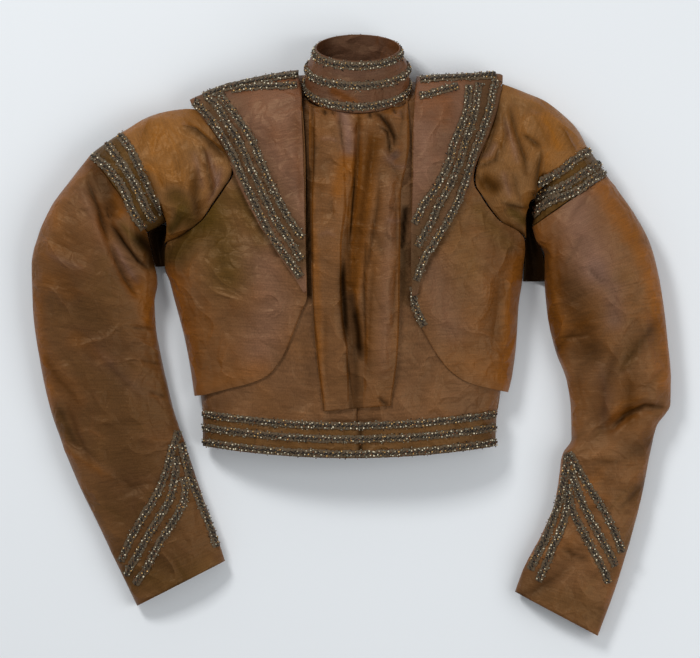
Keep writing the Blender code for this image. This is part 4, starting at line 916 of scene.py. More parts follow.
PLEAT_CREASES = creases(
    (((366, 228), (364, 290), (366, 362)), -2.4, 2.0, 0.2, 0.55),
    (((359, 250), (357, 300), (361, 355)), 1.8, 2.6, 0.6),
    (((393, 176), (397, 250), (392, 335)), -1.8, 2.2, 0.1, 0.28),
    (((397, 190), (394, 212), (388, 226)), 1.5, 2.2),
    (((382, 232), (390, 240), (402, 238)), -1.3, 2.2, 0.0, 0.22),
    (((320, 165), (331, 160), (340, 168)), -1.0, 2.0, 0.0, 0.16),
    (((318, 236), (328, 232), (337, 237)), 1.0, 2.2, 0.0, 0.0, 1.15, 0.3),
    (((334, 112), (337, 160), (336, 230)), 1.0, 2.4),
    (((322, 116), (321, 170), (323, 240)), -0.9, 3.0, 0.15, 0.1),
    (((371, 113), (380, 118), (387, 127), (393, 139), (392, 149)), -6.2, 2.7, 0.1, 0.86),
    (((378, 127), (386, 133), (388, 146), (389, 158)), -5.0, 2.2, 0.0, 0.72),
    (((362, 116), (374, 121), (383, 131), (385, 144)), 4.0, 2.9, -0.05, 0.0),
    (((383, 150), (386, 160), (393, 167), (403, 168),
        (412, 165)), 4.0, 2.7, 0.0, 0.0, 1.15, 0.5),
    (((391, 153), (396, 160)), -2.8, 5.4, 0.0, 0.35, 2.0, 0.8),
    (((360, 112), (358, 122), (356, 136)), -2.5, 2.5, 0.7, 0.45),
    (((343, 112), (348, 130), (349, 150)), 0.0, 6.5, 0.0, 0.0, 2.0, 0.9),
    (((340, 112), (341, 130), (343, 150)), -2.0, 1.4, 0.0, 0.45),
    (((351, 120), (353, 150), (349, 190)), 1.8, 3.0, 0.2),
    (((358, 135), (357, 165), (352, 205), (350, 240)), -2.0, 3.1, 0.9, 0.42, 2.0),
    (((356, 165), (353, 200), (350, 238), (347, 250)), -3.0, 2.0, 0.0, 0.92),
    (((374, 142), (368, 170), (363, 200), (358, 240), (353, 285)), 0.0, 8.0, 1.0, 0.44, 2.0),
    (((372, 150), (366, 195), (360, 235)), 2.6, 4.0, 0.4),
    (((380, 165), (377, 205), (371, 245), (362, 290)), -3.2, 2.7, 0.1, 0.4),
    (((346, 160), (342, 175), (338, 192)), 0.0, 8.0, 0.8, 0.05, 2.0),
    (((345, 252), (343, 280), (345, 310), (347, 345)), -2.8, 4.5, 0.3, 0.85, 2.0),
    (((352, 300), (358, 330), (360, 362)), -2.8, 4.9, 0.2, 0.85, 2.0),
    (((346, 350), (350, 380), (354, 408)), -2.2, 2.7, 0.2, 0.55),
    (((314.6, 112), (315, 150), (314, 190)), -1.0, 1.6, 0.0, 0.6),
    (((309, 170), (309, 220), (310, 260)), 0.0, 4.0, 0.1, 0.7, 2.0),
    (((310, 120), (312, 200), (318, 300), (320, 400)), 0.0, 4.0, 0.6, 0.1, 2.0),
    (((366, 226), (374, 231), (388, 233)), 2.2, 2.3, 0.0, 0.0),
    (((384, 219), (394, 222), (404, 220)), 2.0, 2.2, 0.0, 0.0, 1.15, 0.4),
    (((385, 206), (394, 210), (403, 208)), -1.8, 2.3, 0.0, 0.3),
    (((378, 180), (388, 184), (398, 180)), 1.4, 3.0),
    (((390, 172), (389, 230), (386, 300), (383, 380)), 2.5, 7.2, 0.0, 0.0, 2.0, 0.3),
    (((399, 180), (402, 240), (396, 330)), -1.5, 3.6, 0.2, 0.18),
    (((374, 250), (370, 310), (368, 380)), -2.0, 3.2, 0.3, 0.32),
    (((320, 140), (330, 139), (339, 142)), 1.1, 2.0, 0.0, 0.0, 1.15, 0.4),
    (((318, 212), (328, 214), (338, 211)), -1.1, 2.0, 0.0, 0.16),
    (((318, 262), (328, 259), (336, 264)), 0.9, 2.4),
    (((326, 300), (325, 350), (328, 404)), -1.6, 3.1, 0.2, 0.2),
    (((335, 290), (336, 350), (338, 404)), 1.2, 3.4),
    (((350, 262), (353, 260), (356, 262)), -1.8, 1.8, 0.0, 0.4),
    (((378, 396), (383, 402), (389, 404)), -2.5, 2.3, 0.0, 0.6),
    (((325, 112), (326, 118)), -3.0, 2.2, 0.0, 0.7),
    (((333, 112), (333, 117)), -2.0, 1.8, 0.0, 0.5),
    (((369, 112), (370, 120)), -3.0, 2.0, 0.0, 0.7),
    (((392, 110), (394, 118)), -2.5, 2.0, 0.0, 0.6),
    (((400, 112), (402, 124)), -2.0, 2.2, 0.0, 0.4),
)
COLLAR_CREASES = creases(
    (((357, 85),), 0.0, 120.0, 0.0, 0.28),
    (((330, 85), (342, 93), (355, 100)), 1.2, 2.2, 0.3),
    (((334, 92), (344, 98), (354, 103)), 0.0, 4.0, 1.0, 0.1, 2.0),
    (((383, 85), (384, 95), (383, 104)), -0.9, 2.0, 0.1, 0.35),
    (((335, 72), (357, 76), (380, 72)), 0.0, 5.0, 0.0, 0.0, 2.0, 0.4),
)
LEFT_PUFF_CREASES = creases(
    (((180, 126), (195, 131), (210, 144), (222, 155), (230, 161)), -8.1, 2.8, 0.0, 0.61),
    (((220, 156), (226, 153), (231, 155)), -3.4, 2.2, 0.0, 0.5),
    (((184, 118), (200, 127), (216, 142), (226, 150)), 3.4, 4.0, 0.2),
    (((172, 128), (192, 138), (206, 148)), 1.8, 4.5, 0.2),
    (((200, 144), (206, 156), (209, 175), (214, 198)), -5.1, 2.4, 0.1, 0.43),
    (((206, 150), (214, 170), (219, 190)), 3.5, 3.3, 0.0, 0.0, 1.15, 0.7),
    (((194, 150), (199, 172), (204, 192)), 2.7, 3.3, 0.0, 0.0, 1.15, 0.5),
    (((196, 166), (195, 195), (198, 222)), -2.6, 6.0, 0.4, 0.5, 1.8),
    (((222, 165), (218, 185), (208, 206)), 2.7, 3.1, 0.0, 0.0, 1.15, 0.6),
    (((139, 165), (149, 174), (156, 190), (161, 204)), -4.6, 2.4, 0.3, 0.43),
    (((144, 160), (156, 172), (164, 192)), 2.8, 4.4, 0.5),
    (((150, 116), (144, 135), (140, 152)), -2.2, 2.8, 0.3, 0.18),
    (((160, 120), (154, 140), (152, 160)), 1.8, 6.0, 0.5),
    (((176, 150), (180, 172), (184, 196)), -2.4, 3.7, 0.1, 0.13),
    (((165, 140), (172, 155), (174, 175)), 0.0, 18.0, 0.45, 0.0, 2.0),
    (((184, 205), (178, 220), (168, 234)), -2.7, 4.6, -0.9, 0.32, 2.0),
    (((176, 196), (186, 206), (190, 218)), 0.0, 10.0, -0.8, 0.22, 2.0),
    (((233, 174), (218, 200), (204, 222), (188, 232)), 0.0, 3.0, 0.0, 0.5, 1.6),
)
RIGHT_PUFF_CREASES = creases(
    (((509, 104), (512, 118), (516, 135), (524, 160), (526, 175)), -5.9, 2.6, 0.2, 0.52),
    (((503, 112), (506, 135), (500, 158)), -3.8, 2.4, 0.0, 0.29),
    (((516, 104), (524, 128), (532, 150)), 3.4, 4.4, 0.1),
    (((504, 118), (511, 140), (518, 165)), 2.7, 2.9, 0.0, 0.0, 1.15, 0.6),
    (((521, 134), (530, 140), (541, 149)), -4.9, 2.6, 0.1, 0.54),
    (((541, 148), (538, 165), (535, 182), (531, 205)), -5.7, 2.4, 0.0, 0.58),
    (((546, 150), (544, 168), (540, 184)), 3.0, 4.0, 0.4),
    (((473, 168), (486, 165), (496, 160), (499, 148)), -3.5, 2.0, 0.0, 0.45),
    (((480, 158), (490, 154), (496, 142)), 2.2, 3.1, 0.0, 0.0, 1.15, 0.6),
    (((478, 178), (488, 183), (500, 194)), 2.2, 8.0, 0.8, 0.6, 2.0),
    (((474, 172), (480, 180), (487, 192)), -2.2, 2.4, 0.1, 0.43),
    (((505, 208), (516, 215), (528, 226)), 2.4, 5.5, -0.9, 0.11, 2.0),
    (((500, 202), (514, 205), (530, 208)), -4.3, 2.4, 0.0, 0.54),
    (((502, 170), (506, 186), (510, 200)), 2.4, 3.3, 0.0, 0.0, 1.15, 0.5),
    (((512, 172), (516, 188), (520, 202)), -2.4, 2.8, 0.0, 0.22),
    (((540, 112), (552, 130), (560, 152)), 2.8, 5.0, 0.6),
    (((560, 126), (568, 142), (576, 156)), -4.3, 3.1, 0.3, 0.3),
    (((528, 108), (540, 128), (549, 150)), -2.7, 3.3, 0.2, 0.14),
    (((548, 118), (556, 140), (562, 160)), 0.0, 18.0, 0.30, 0.0, 2.0),
    (((500, 90), (497, 120), (489, 145), (478, 165)), -2.0, 3.3, 0.0, 0.52, 1.6),
    (((472, 185), (488, 208), (502, 224), (524, 234)), 0.0, 2.6, 0.0, 0.4, 1.6),
)
LEFT_SLEEVE_CREASES = creases(
    (((86, 176), (92, 194), (99, 210), (104, 225), (110, 243)), -5.0, 3.2, 0.5, 0.7),
    (((110, 243), (118, 262), (127, 280), (139, 298)), -4.2, 3.0, 0.5, 0.62),
    (((78, 182), (88, 204), (97, 228), (106, 256)), 3.4, 6.0, 0.2, 0.0, 1.15, 0.3),
    (((98, 168), (106, 186), (112, 206)), 0.0, 12.0, 0.4, 0.5, 2.0),
    (((112, 190), (118, 205), (122, 220)), 1.6, 5.0, 0.9, 0.0, 2.0),
    (((104, 212), (109, 208), (115, 204)), -2.2, 2.4, 0.0, 0.6),
    (((106, 210), (109, 217), (114, 214)), -2.0, 2.2, 0.0, 0.6),
    (((110, 224), (124, 244), (139, 261), (153, 271)), -4.4, 3.2, 0.0, 0.88),
    (((118, 220), (134, 238), (148, 250)), 1.8, 4.4, -0.6, 0.2),
    (((140, 240), (150, 250), (154, 262)), 0.0, 8.0, -0.3, 0.8, 2.0),
    (((113, 240), (124, 262), (140, 285)), 1.8, 4.5, 0.0, 0.0, 1.15, 0.7),
    (((120, 256), (134, 262), (146, 270)), -1.2, 2.4, 0.0, 0.3),
    (((50, 240), (70, 250), (92, 262)), -1.4, 3.0, 0.1, 0.22),
    (((46, 252), (66, 262), (86, 270)), 1.0, 3.4, 0.0, 0.0, 1.15, 0.4),
    (((48, 282), (62, 280), (70, 295)), 0.0, 9.0, 0.5, 0.2, 2.0),
    (((78, 338), (90, 345), (102, 356)), 0.0, 10.0, 0.6, 0.05, 2.0),
    (((138, 285), (146, 300), (150, 318)), 0.0, 9.0, 0.7, 0.15, 2.0),
    (((36, 300), (34, 340), (46, 400)), 0.0, 8.0, 0.8, 0.0, 2.0),
    (((85, 300), (105, 380), (160, 560)), 0.0, 60.0, -0.15, 0.27, 2.0),
    (((90, 340), (118, 372), (150, 400)), 1.8, 6.0, 0.0, 0.0, 1.15, 0.3),
    (((96, 352), (124, 384), (152, 412)), -1.6, 4.6, 0.0, 0.16),
    (((110, 340), (134, 372), (160, 390)), -1.2, 3.0, 0.1, 0.15),
    (((130, 328), (145, 328), (157, 330)), -2.0, 2.2, 0.0, 0.45),
    (((138, 360), (152, 362), (163, 365)), -1.8, 2.2, 0.0, 0.42),
    (((146, 391), (158, 394), (168, 398)), -1.8, 2.2, 0.0, 0.42),
    (((160, 468), (138, 478), (115, 487)), -1.8, 2.6, 0.0, 0.36),
    (((140, 487), (122, 495), (103, 502)), -1.6, 2.6, 0.0, 0.32),
    (((130, 535), (120, 540), (110, 545)), -1.4, 2.6, 0.0, 0.30),
    (((95, 190), (104, 184), (118, 196)), 0.0, 12.0, -0.3, 0.3, 2.0),
    (((140, 575), (175, 585), (205, 570)), 0.0, 18.0, -0.3, 0.12, 2.0),
)
RIGHT_SLEEVE_CREASES = creases(
    (((600, 190), (625, 225), (648, 270), (660, 320)), 0.0, 10.0, 0.75, 0.0, 2.0),
    (((660, 310), (664, 350), (664, 385)), 0.0, 9.0, 0.6, 0.0, 2.0),
    (((546, 250), (550, 290), (558, 345)), 0.0, 8.0, 0.75, 0.30, 2.0),
    (((575, 205), (582, 235), (592, 262)), 0.0, 22.0, 0.0, 0.0, 2.0, 0.75),
    (((566, 285), (582, 320), (592, 350)), 0.0, 17.0, 0.3, 0.42, 2.0),
    (((585, 265), (600, 280), (612, 282)), -1.6, 2.6, 0.2, 0.36),
    (((596, 272), (612, 290), (614, 320)), 0.0, 10.0, 0.0, 0.12, 2.0, 0.6),
    (((550, 340), (575, 336), (602, 334)), -2.4, 2.6, 0.1, 0.55),
    (((556, 328), (578, 324), (600, 322)), 1.8, 4.0, 0.3),
    (((610, 430), (625, 415), (645, 406), (668, 408)), -2.8, 2.6, 0.2, 0.68),
    (((606, 420), (622, 404), (650, 394)), 2.4, 4.4, 0.5),
    (((570, 210), (566, 250), (572, 300)), 2.0, 6.0),
    (((558, 235), (556, 262), (560, 305)), -1.8, 4.0, 0.2, 0.22),
    (((580, 460), (612, 462), (645, 458)), -1.2, 2.6, 0.0, 0.25),
    (((562, 548), (575, 555), (588, 560)), -1.8, 2.4, 0.0, 0.42),
    (((640, 300), (645, 340), (650, 390)), 1.8, 7.0, 0.3),
    (((575, 365), (580, 400), (590, 430)), -1.6, 5.0, 0.1, 0.16),
    (((600, 360), (606, 400), (602, 430)), 1.6, 6.0, 0.0, 0.0, 1.15, 0.3),
    (((535, 590), (565, 602), (595, 615)), 0.0, 16.0, -0.2, 0.10, 2.0),
)


class Held(Enum):
    """How a sheet of cloth is held."""

    LAID = "laid"
    GATHERED = "gathered"
    STRETCHED = "stretched"


@dataclass(frozen=True)
class Cut:
    """The flat piece that a panel was cut from, in metres."""

    width: float
    length: float
    area: float
    held: Held = Held.LAID


@dataclass
class Shape:
    """Points of a panel, with the warmth, shade and mauve of its cloth at each."""

    points: Array
    tint: Array


@dataclass
class Panel:
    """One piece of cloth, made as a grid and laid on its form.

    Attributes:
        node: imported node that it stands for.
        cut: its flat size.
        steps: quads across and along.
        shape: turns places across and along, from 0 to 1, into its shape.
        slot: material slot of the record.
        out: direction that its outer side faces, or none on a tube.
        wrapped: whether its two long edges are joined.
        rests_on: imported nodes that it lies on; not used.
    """

    node: str
    cut: Cut
    steps: tuple[int, int]
    shape: Callable[[Array, Array], Shape]
    slot: str = "silk"
    out: Optional[Vector] = None
    wrapped: bool = False
    rests_on: tuple[str, ...] = ()

    def build(self, material: bpy.types.Material) -> bpy.types.Object:
        """Args:
            material: finish of the cloth.

        Returns:
            The new object.
        """
        mesh = bmesh.new()
        _, spots = grid(mesh, *self.steps)
        shape = self.shape(spots[:, 0], spots[:, 1])
        layers = [mesh.verts.layers.float.new(name) for name in TINTS]
        for vert, point, tint in zip(mesh.verts, shape.points * MM, shape.tint):
            vert.co = point
            for layer, value in zip(layers, tint):
                vert[layer] = value
        flat = mesh.loops.layers.uv.new("cloth")
        places = spots * (self.cut.width, self.cut.length)
        for face in mesh.faces:
            for loop in face.loops:
                loop[flat].uv = places[loop.vert.index]
        if self.wrapped:
            bmesh.ops.remove_doubles(mesh, verts=mesh.verts, dist=JOIN)
        self.face_out(mesh)
        made = finished_object(self.node + "_cloth", mesh, [material])
        wall = made.modifiers.new("wall", "SOLIDIFY")
        wall.thickness = WALL * MM
        wall.offset = -1.0
        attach(made, "root")
        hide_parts(self.node)
        return made

    def face_out(self, mesh: bmesh.types.BMesh) -> None:
        """Turn the faces so that the outer side of the cloth faces out."""
        mesh.normal_update()
        middle = Vector()
        for vert in mesh.verts:
            middle += vert.co
        middle /= len(mesh.verts)
        total = 0.0
        for face in mesh.faces:
            way = self.out if self.out is not None else face.calc_center_median() - middle
            total += face.normal.dot(way) * face.calc_area()
        if total < 0:
            bmesh.ops.reverse_faces(mesh, faces=mesh.faces)


def grid(mesh: bmesh.types.BMesh, across: int, along: int) -> tuple[list, Array]:
    """Add a grid to a mesh.

    Args:
        mesh: mesh to add to.
        across: quads across.
        along: quads along.

    Returns:
        Its vertices, and their places across and along from 0 to 1.
    """
    verts = bmesh.ops.create_grid(mesh, x_segments=across, y_segments=along, size=0.5)["verts"]
    return verts, np.array([vert.co[:2] for vert in verts]) + 0.5


def finished_object(name: str, mesh: bmesh.types.BMesh,
                    materials: Sequence[bpy.types.Material]) -> bpy.types.Object:
    """Turn a bmesh into a smooth object at the origin.

    Args:
        name: name of the object.
        mesh: its mesh, which is freed.
        materials: its material slots in order.

    Returns:
        The new object.
    """
    data = bpy.data.meshes.new(name)
    mesh.to_mesh(data)
    mesh.free()
    data.shade_smooth()
    for material in materials:
        data.materials.append(material)
    made = bpy.data.objects.new(name, data)
    bpy.context.collection.objects.link(made)
    return made


def toward_edge(part: Array) -> Array:
    """Spread grid lines so that they lie closer near the start."""
    return EDGE_PACE * part + (1.0 - EDGE_PACE) * part * part


def off_shoulder(column: Array, row: Array, index: Array, pace: float) -> Array:
    """Keep rows off the shoulder seam, where the first line of a panel ends.

    Args:
        column: plan columns.
        row: plan rows.
        index: number of the panel's line at each point, which may be a fraction.
        pace: squares that are kept free for each line.

    Returns:
        The rows after that.
    """
    seam = read(SHOULDER, 1, column) + SEAM_CLEAR
    start = np.clip(1.0 - index, 0.0, 1.0)
    return np.maximum(row, seam + pace * index) * (1.0 - start) + seam * start


@dataclass
class FrontPanel:
    """A front cut between the side seam and its inner edge.

    Attributes:
        rows: inner column, inner row, outer row and bow of each line of the panel.
        side: the side seam.
        lift: mm above the body's form.
        flare: mm that its lower outer corner stands off.
        to_band: whether it ends under the waistband.
        tuck: squares that it reaches under the waistband there.
        rise: mm that it rises there, to the band's inner side.
        margin: squares that it passes the side seam above the underarm.
        lie: its creases.
    """

    form: BodyForm
    rows: Table
    side: Table
    lift: float
    lie: Lie
    flare: float = 0.0
    to_band: bool = False
    tuck: float = 2.2
    rise: float = 1.5
    margin: float = 2.4

    def shape(self, across: Array, along: Array) -> Shape:
        """Shape of the panel at places across, from its outer edge, and along."""
        index = along * (len(self.rows) - 1)
        inner_column = read_rows(self.rows, 0, index)
        inner_row = read_rows(self.rows, 1, index)
        outer_row = read_rows(self.rows, 2, index)
        bow = read_rows(self.rows, 3, index)
        margin = self.margin if self.side is LEFT_SIDE else -self.margin
        spread = eased(MARGIN_ROWS, MARGIN_SHARES, outer_row)
        outer_column = read(self.side, 1, outer_row) + margin * spread
        part = toward_edge(across)
        column = outer_column + (inner_column - outer_column) * part
        row = outer_row + (inner_row - outer_row) * part - bow * 4 * part * (1 - part)
        row = off_shoulder(column, row, index, 1.2)
        if self.to_band:
            end = ramp(index, len(self.rows) - 2, len(self.rows) - 1)
            finish = band_row(column, np.zeros_like(column)) + self.tuck
            row = row * (1.0 - end) + finish * end
        edge = read(self.side, 1, row)
        near = ramp(np.abs(column - edge), FLARE_ACROSS, 0.0) ** 2
        extra = self.flare * near * ramp(row, *FLARE_ROWS) ** 1.5
        relief, tint = self.lie.relief(column, row)
        relief = relief * ramp(part, 0.0, 1.0 / 12.0)
        if self.to_band:
            extra = extra + self.rise * ramp(index, len(self.rows) - 1.2, len(self.rows) - 1.0)
        return Shape(self.form.on_front(column, row, self.lift + extra + relief), tint)


@dataclass
class ReversPanel:
    """A wide lapel lying over the shoulder and the bolero front."""

    form: BodyForm
    rows: Table
    lift: float
    lie: Lie

    def shape(self, across: Array, along: Array) -> Shape:
        """Shape of the lapel at places across, from its outer edge, and along."""
        index = along * (len(self.rows) - 1)
        inner = (read_rows(self.rows, 0, index), read_rows(self.rows, 1, index))
        outer = (read_rows(self.rows, 2, index), read_rows(self.rows, 3, index))
        column = outer[0] + (inner[0] - outer[0]) * across
        row = outer[1] + (inner[1] - outer[1]) * across
        row = off_shoulder(column, row, index, 1.6)
        relief, tint = self.lie.relief(column, row)
        return Shape(self.form.on_front(column, row, self.lift + relief), tint)


@dataclass
class PleatedFront:
    """The pleated front, from the neckline to the waistband.

    Attributes:
        across_steps: quads between each two fold lines.
        stand: how far the pleats stand, against the fold table.
        deepest: mm that the hollows between them may sink.
        hollow_shade: how much painted shade darkens the hollows.
        rim: share across over which that fades out at its edges.
    """

    form: BodyForm
    lie: Lie
    lift: float = OVERLAY_TOP
    across_steps: tuple[int, ...] = (4, 4, 16, 6, 8, 6, 6, 8, 9, 12, 7)
    stand: float = 1.9
    deepest: float = 0.9
    hollow_shade: float = 0.56
    rim: float = 1.0 / 30.0

    def shape(self, across: Array, along: Array) -> Shape:
        """Shape of the pleated front at places across, from the left, and along."""
        stops = np.concatenate(([0.0], np.cumsum(self.across_steps)))
        fold = np.interp(across * stops[-1], stops, np.arange(len(stops)))
        at = PLEAT_ROWS[0] + (PLEAT_ROWS[1] - PLEAT_ROWS[0]) * along
        lines = list(PLASTRON_FOLDS.values())
        columns = np.array([eased(PLASTRON_ROWS, line[0], at) for line in lines])
        stands = np.array([eased(PLASTRON_ROWS, line[1], at) for line in lines])
        low = np.clip(np.floor(fold).astype(int), 0, len(lines) - 2)
        part = fold - low
        spot = np.arange(len(fold))
        column = columns[low, spot] * (1 - part) + columns[low + 1, spot] * part
        round_part = part * part * (3.0 - 2.0 * part)
        stand = stands[low, spot] * (1 - round_part) + stands[low + 1, spot] * round_part
        ring = np.clip((column - NECK_COLUMN) / (NECK_ACROSS + 1.5), -1.0, 1.0)
        aside = np.abs(column - NECK_COLUMN) / NECK_ACROSS
        start = NECK_ROW + NECK_ALONG * np.sqrt(1.0 - ring * ring) + 2.0
        corner = np.clip((aside - CORNER_FROM) / (1.0 - CORNER_FROM), 0.0, CORNER_MOST)
        start = start + CORNER_DROP * corner
        finish = PLEAT_FOOT[1] + (column - PLEAT_FOOT[0]) * PLEAT_SLOPE
        row = start + (finish - start) * along
        flat = ramp(along * PLEAT_LENGTH, *PLEAT_START)
        gather = 1.0 - GATHER_SHARE * ramp(along, GATHER_FROM, 1.0)
        relief, tint = self.lie.relief(column, row)
        lift = self.lift + self.stand * stand * flat * gather + relief * flat
        lift = np.maximum(lift, self.lift - self.deepest)
        # Painted shade in the hollows where the pleats stand low, fading at the panel's edges and
        # weaker beside the last fold near the top.
        inside = ramp(np.minimum(across, 1.0 - across), 0.0, self.rim)
        hollow = ramp(stand, HOLLOW_STAND, 0.0) * inside
        shallow = (fold > len(lines) - 3) & (row < SHALLOW_ROW)
        hollow = hollow * np.where(shallow, SHALLOW_SHADE, 1.0)
        tint[:, 1] = np.maximum(tint[:, 1], self.hollow_shade * hollow)
        return Shape(self.form.on_front(column, row, lift), tint)


@dataclass
class BackPanel:
    """The back, flat where it rests.

    Attributes:
        seam_drop: mm that its shoulder edges lie below the fronts' edges.
        seam_rows: squares over which it rises to them.
        inset: squares that it keeps from the body's sides.
        first_inset: the same while its upper and lower edges are looked for.
        band_gap: squares between it and the waistband.
    """

    form: BodyForm
    lie: Lie
    seam_drop: float = 0.7
    seam_rows: float = 7.0
    inset: float = 0.5
    first_inset: float = 1.6
    band_gap: float = 0.9

    def shape(self, across: Array, along: Array) -> Shape:
        """Shape of the back at places across, from the left, and along."""
        part = (1.0 - np.cos(across * math.pi)) / 2.0
        level = BACK_ROWS[0] + (BACK_ROWS[1] - BACK_ROWS[0]) * along
        left = read(LEFT_SIDE, 1, level + 3) + self.first_inset
        right = read(RIGHT_SIDE, 1, level) - self.first_inset
        column = left + (right - left) * part
        start, inner = self.upper_rows(column)
        finish = band_row(column, np.zeros_like(column)) - self.band_gap
        row = start + (finish - start) * along + inner * ramp(along, 0.2, 0.0)
        left = read(LEFT_SIDE, 1, row) + self.inset
        right = read(RIGHT_SIDE, 1, row) - self.inset
        column = left + (right - left) * part
        _, tint = self.lie.relief(column, row)
        points = self.form.under(column, row)
        start, inner = self.upper_rows(column)
        near = ramp(row - start - inner, self.seam_rows, 0.0)
        points[:, 2] += np.maximum(self.rim(column) - points[:, 2], 0.0) * near
        return Shape(points, tint)

    def upper_rows(self, column: Array) -> tuple[Array, Array]:
        """Rows of its upper edge, and how much further it keeps off the collar's sides."""
        reach = np.abs(column - NECK_COLUMN)
        ring = np.minimum(reach / NAPE_HALF, 1.0)
        nape = NAPE_ROW - NAPE_ALONG * np.sqrt(1.0 - ring * ring)
        seam = read(SHOULDER, 1, column) + SHOULDER_GAP
        near = ramp(reach, NECK_HALF + NAPE_FADE, NECK_HALF)
        behind = reach < NAPE_OPEN
        inner = np.where(behind, 0.0, np.maximum(nape - seam, 0.0) * near)
        return np.where(behind, nape, seam), inner

    def rim(self, column: Array) -> Array:
        """Height in mm of its upper edge, at the fronts' and the collar's edges."""
        reach = np.abs(column - NECK_COLUMN)
        aside = NECK_COLUMN + np.sign(column - NECK_COLUMN) * np.maximum(reach, NECK_HALF)
        front = self.form.front(aside, read(SHOULDER, 1, aside) + self.form.clear)[:, 2]
        share = np.clip(reach / (NECK_HALF - 1.0), 0.0, 1.0)
        collar = COLLAR_HEIGHT - COLLAR_RISE * np.sqrt(1.0 - share * share) - 0.2
        inner = 2.0 * ramp(reach, NECK_HALF + NAPE_FADE, NECK_HALF)
        return np.minimum(front - self.seam_drop + inner, collar)


@dataclass
class WaistRing:
    """The waistband, a closed ring below the waist seam."""

    lie: Lie

    def shape(self, around: Array, along: Array) -> Shape:
        """Shape of the band at places round it and along."""
        level = BAND_TOP + (BAND_BOTTOM - BAND_TOP) * along
        left = read(LEFT_SIDE, 1, level)
        right = read(RIGHT_SIDE, 1, level)
        turn, share, upper = ring_turn(around, RING_OVER)
        column = left + (right - left) * share
        row = band_row(column, along)
        crown = read(CROWN, 1, level) - BAND_LOW
        swell = np.maximum(1.0 - np.abs(share * 2 - 1) ** BAND_SQUARE, 0.0)
        top = BAND_EDGE + crown * np.sqrt(swell)
        low = BAND_EDGE * ramp(np.minimum(column - left, right - column), BACK_ROUND, 0.0) ** 2
        relief, tint = self.lie.relief(column, row)
        top = top + relief * np.sin(turn) ** 0.5
        return Shape(place(column, row, np.where(upper, top, low)), tint)


@dataclass
class SleeveCloth:
    """A tube of cloth on its form, with its creases."""

    form: SleeveForm
    lie: Lie

    def relief(self, at: Array, around: Array) -> tuple[Array, Array]:
        """Height in mm and tint at places of the tube."""
        turn, share, upper = self.form.turn_of(around)
        column, row = self.form.plan(at, share, ~upper)
        lift, tint = self.lie.relief(column, row)
        return lift * np.sin(turn) ** 0.35 * np.where(upper, 1.0, 0.0), tint

    def outside(self, at: Array, around: Array, lift: Array) -> Array:
        """Points a number of mm outside the creased cloth."""
        relief, _ = self.relief(at, around)
        return self.form.lifted(at, around, relief + lift)

    def shape(self, around: Array, along: Array) -> Shape:
        """Shape of the tube at places round it and along."""
        at = along * self.form.last
        _, tint = self.relief(at, around)
        return Shape(self.outside(at, around, np.zeros_like(at)), tint)


@dataclass
class CollarCloth:
    """The standing collar, a closed ring round the neck."""

    lie: Lie

    def shape(self, around: Array, along: Array) -> Shape:
        """Shape of the collar at places round it and along its height."""
        turn = (around - 0.5) * 2.0 * math.pi
        flat = collar_point(turn, along, np.zeros_like(turn))
        column = flat[:, 0] / SQUARE + CENTRE_COLUMN
        row = CHEST_ROW - flat[:, 1] / SQUARE
        relief, tint = self.lie.relief(column, row)
        relief = np.where(np.cos(turn) > 0.1, relief, 0.0)
        return Shape(collar_point(turn, along, COLLAR_FACE + relief), tint)


@dataclass
class UnderarmCloth:
    """A low scrap of cloth between the side and the sleeve."""

    rows: Table
    near: float
    far: float

    def shape(self, across: Array, along: Array) -> Shape:
        """Shape of the scrap at places across and along."""
        index = along * (len(self.rows) - 1)
        row, inner, outer = (read_rows(self.rows, spot, index) for spot in range(3))
        ends = self.near + (self.far - self.near) * across
        sag = np.minimum(ends - UNDERARM_LOW, UNDERARM_SAG * (outer - inner))
        height = ends - sag * (1.0 - (2.0 * across - 1.0) ** 2) + UNDERARM_FACE
        points = place(inner + (outer - inner) * across, row, height)
        return Shape(points, np.tile(UNDERARM_TINT, (len(across), 1)))


class Bead(Enum):
    """Beads of the braid, with their sRGB colours."""

    JET = "17100a"
    PEWTER = "6b5c45"
    STEEL = "8d8a78"
    CREAM = "ded2b4"
    GOLD = "c39a5c"
    AMBER = "74441f"


# Kinds among the bright beads and the strays, mm between the beads on the cord, mm between the
# tape's ribs and the cord's rings, the thickness of its strands in mm, and the threads' colours.
BRIGHTS = (Bead.CREAM, Bead.PEWTER, Bead.GOLD, Bead.CREAM, Bead.STEEL)
STRAYS = (Bead.PEWTER, Bead.AMBER, Bead.JET, Bead.STEEL)
DARK_STEP = 3.0
RIB_STEP = 1.7
TWIST_STEP = 1.15
STRAND = 0.66
TAPE_COLOUR = "59472f"
STRAND_COLOURS = ("5a4a34", "251a10")


@dataclass
class Lane:
    """A line that a braid is sewn along.

    Attributes:
        length: length in mm.
        spot: turns mm along, mm aside and mm off the cloth into points.
    """

    length: float
    spot: Callable[[Array, Array, Array], Array]


@dataclass
class PlanLine:
    """A smooth line on the plan, read by mm along and aside."""

    path: Sequence[tuple[float, float]]

    def __post_init__(self) -> None:
        """Work out the smooth line and its length."""
        knots = np.asarray(self.path, float)
        keys = running(knots)
        fine = np.linspace(0.0, keys[-1], max(24, int(keys[-1] / 2)))
        line = np.stack([smooth_line(keys, knots[:, axis], fine) for axis in (0, 1)], axis=1)
        self.keys = running(line) * SQUARE
        self.line = line
        way = np.gradient(line, axis=0)
        way = way / np.linalg.norm(way, axis=1, keepdims=True)
        self.side = np.stack((-way[:, 1], way[:, 0]), axis=1)
        self.length = float(self.keys[-1])

    def at(self, run: Array, aside: Array) -> tuple[Array, Array]:
        """Column and row at mm along and mm aside."""
        column, row = (
            np.interp(run, self.keys, self.line[:, axis])
            + np.interp(run, self.keys, self.side[:, axis]) * aside / SQUARE
            for axis in (0, 1)
        )
        return column, row


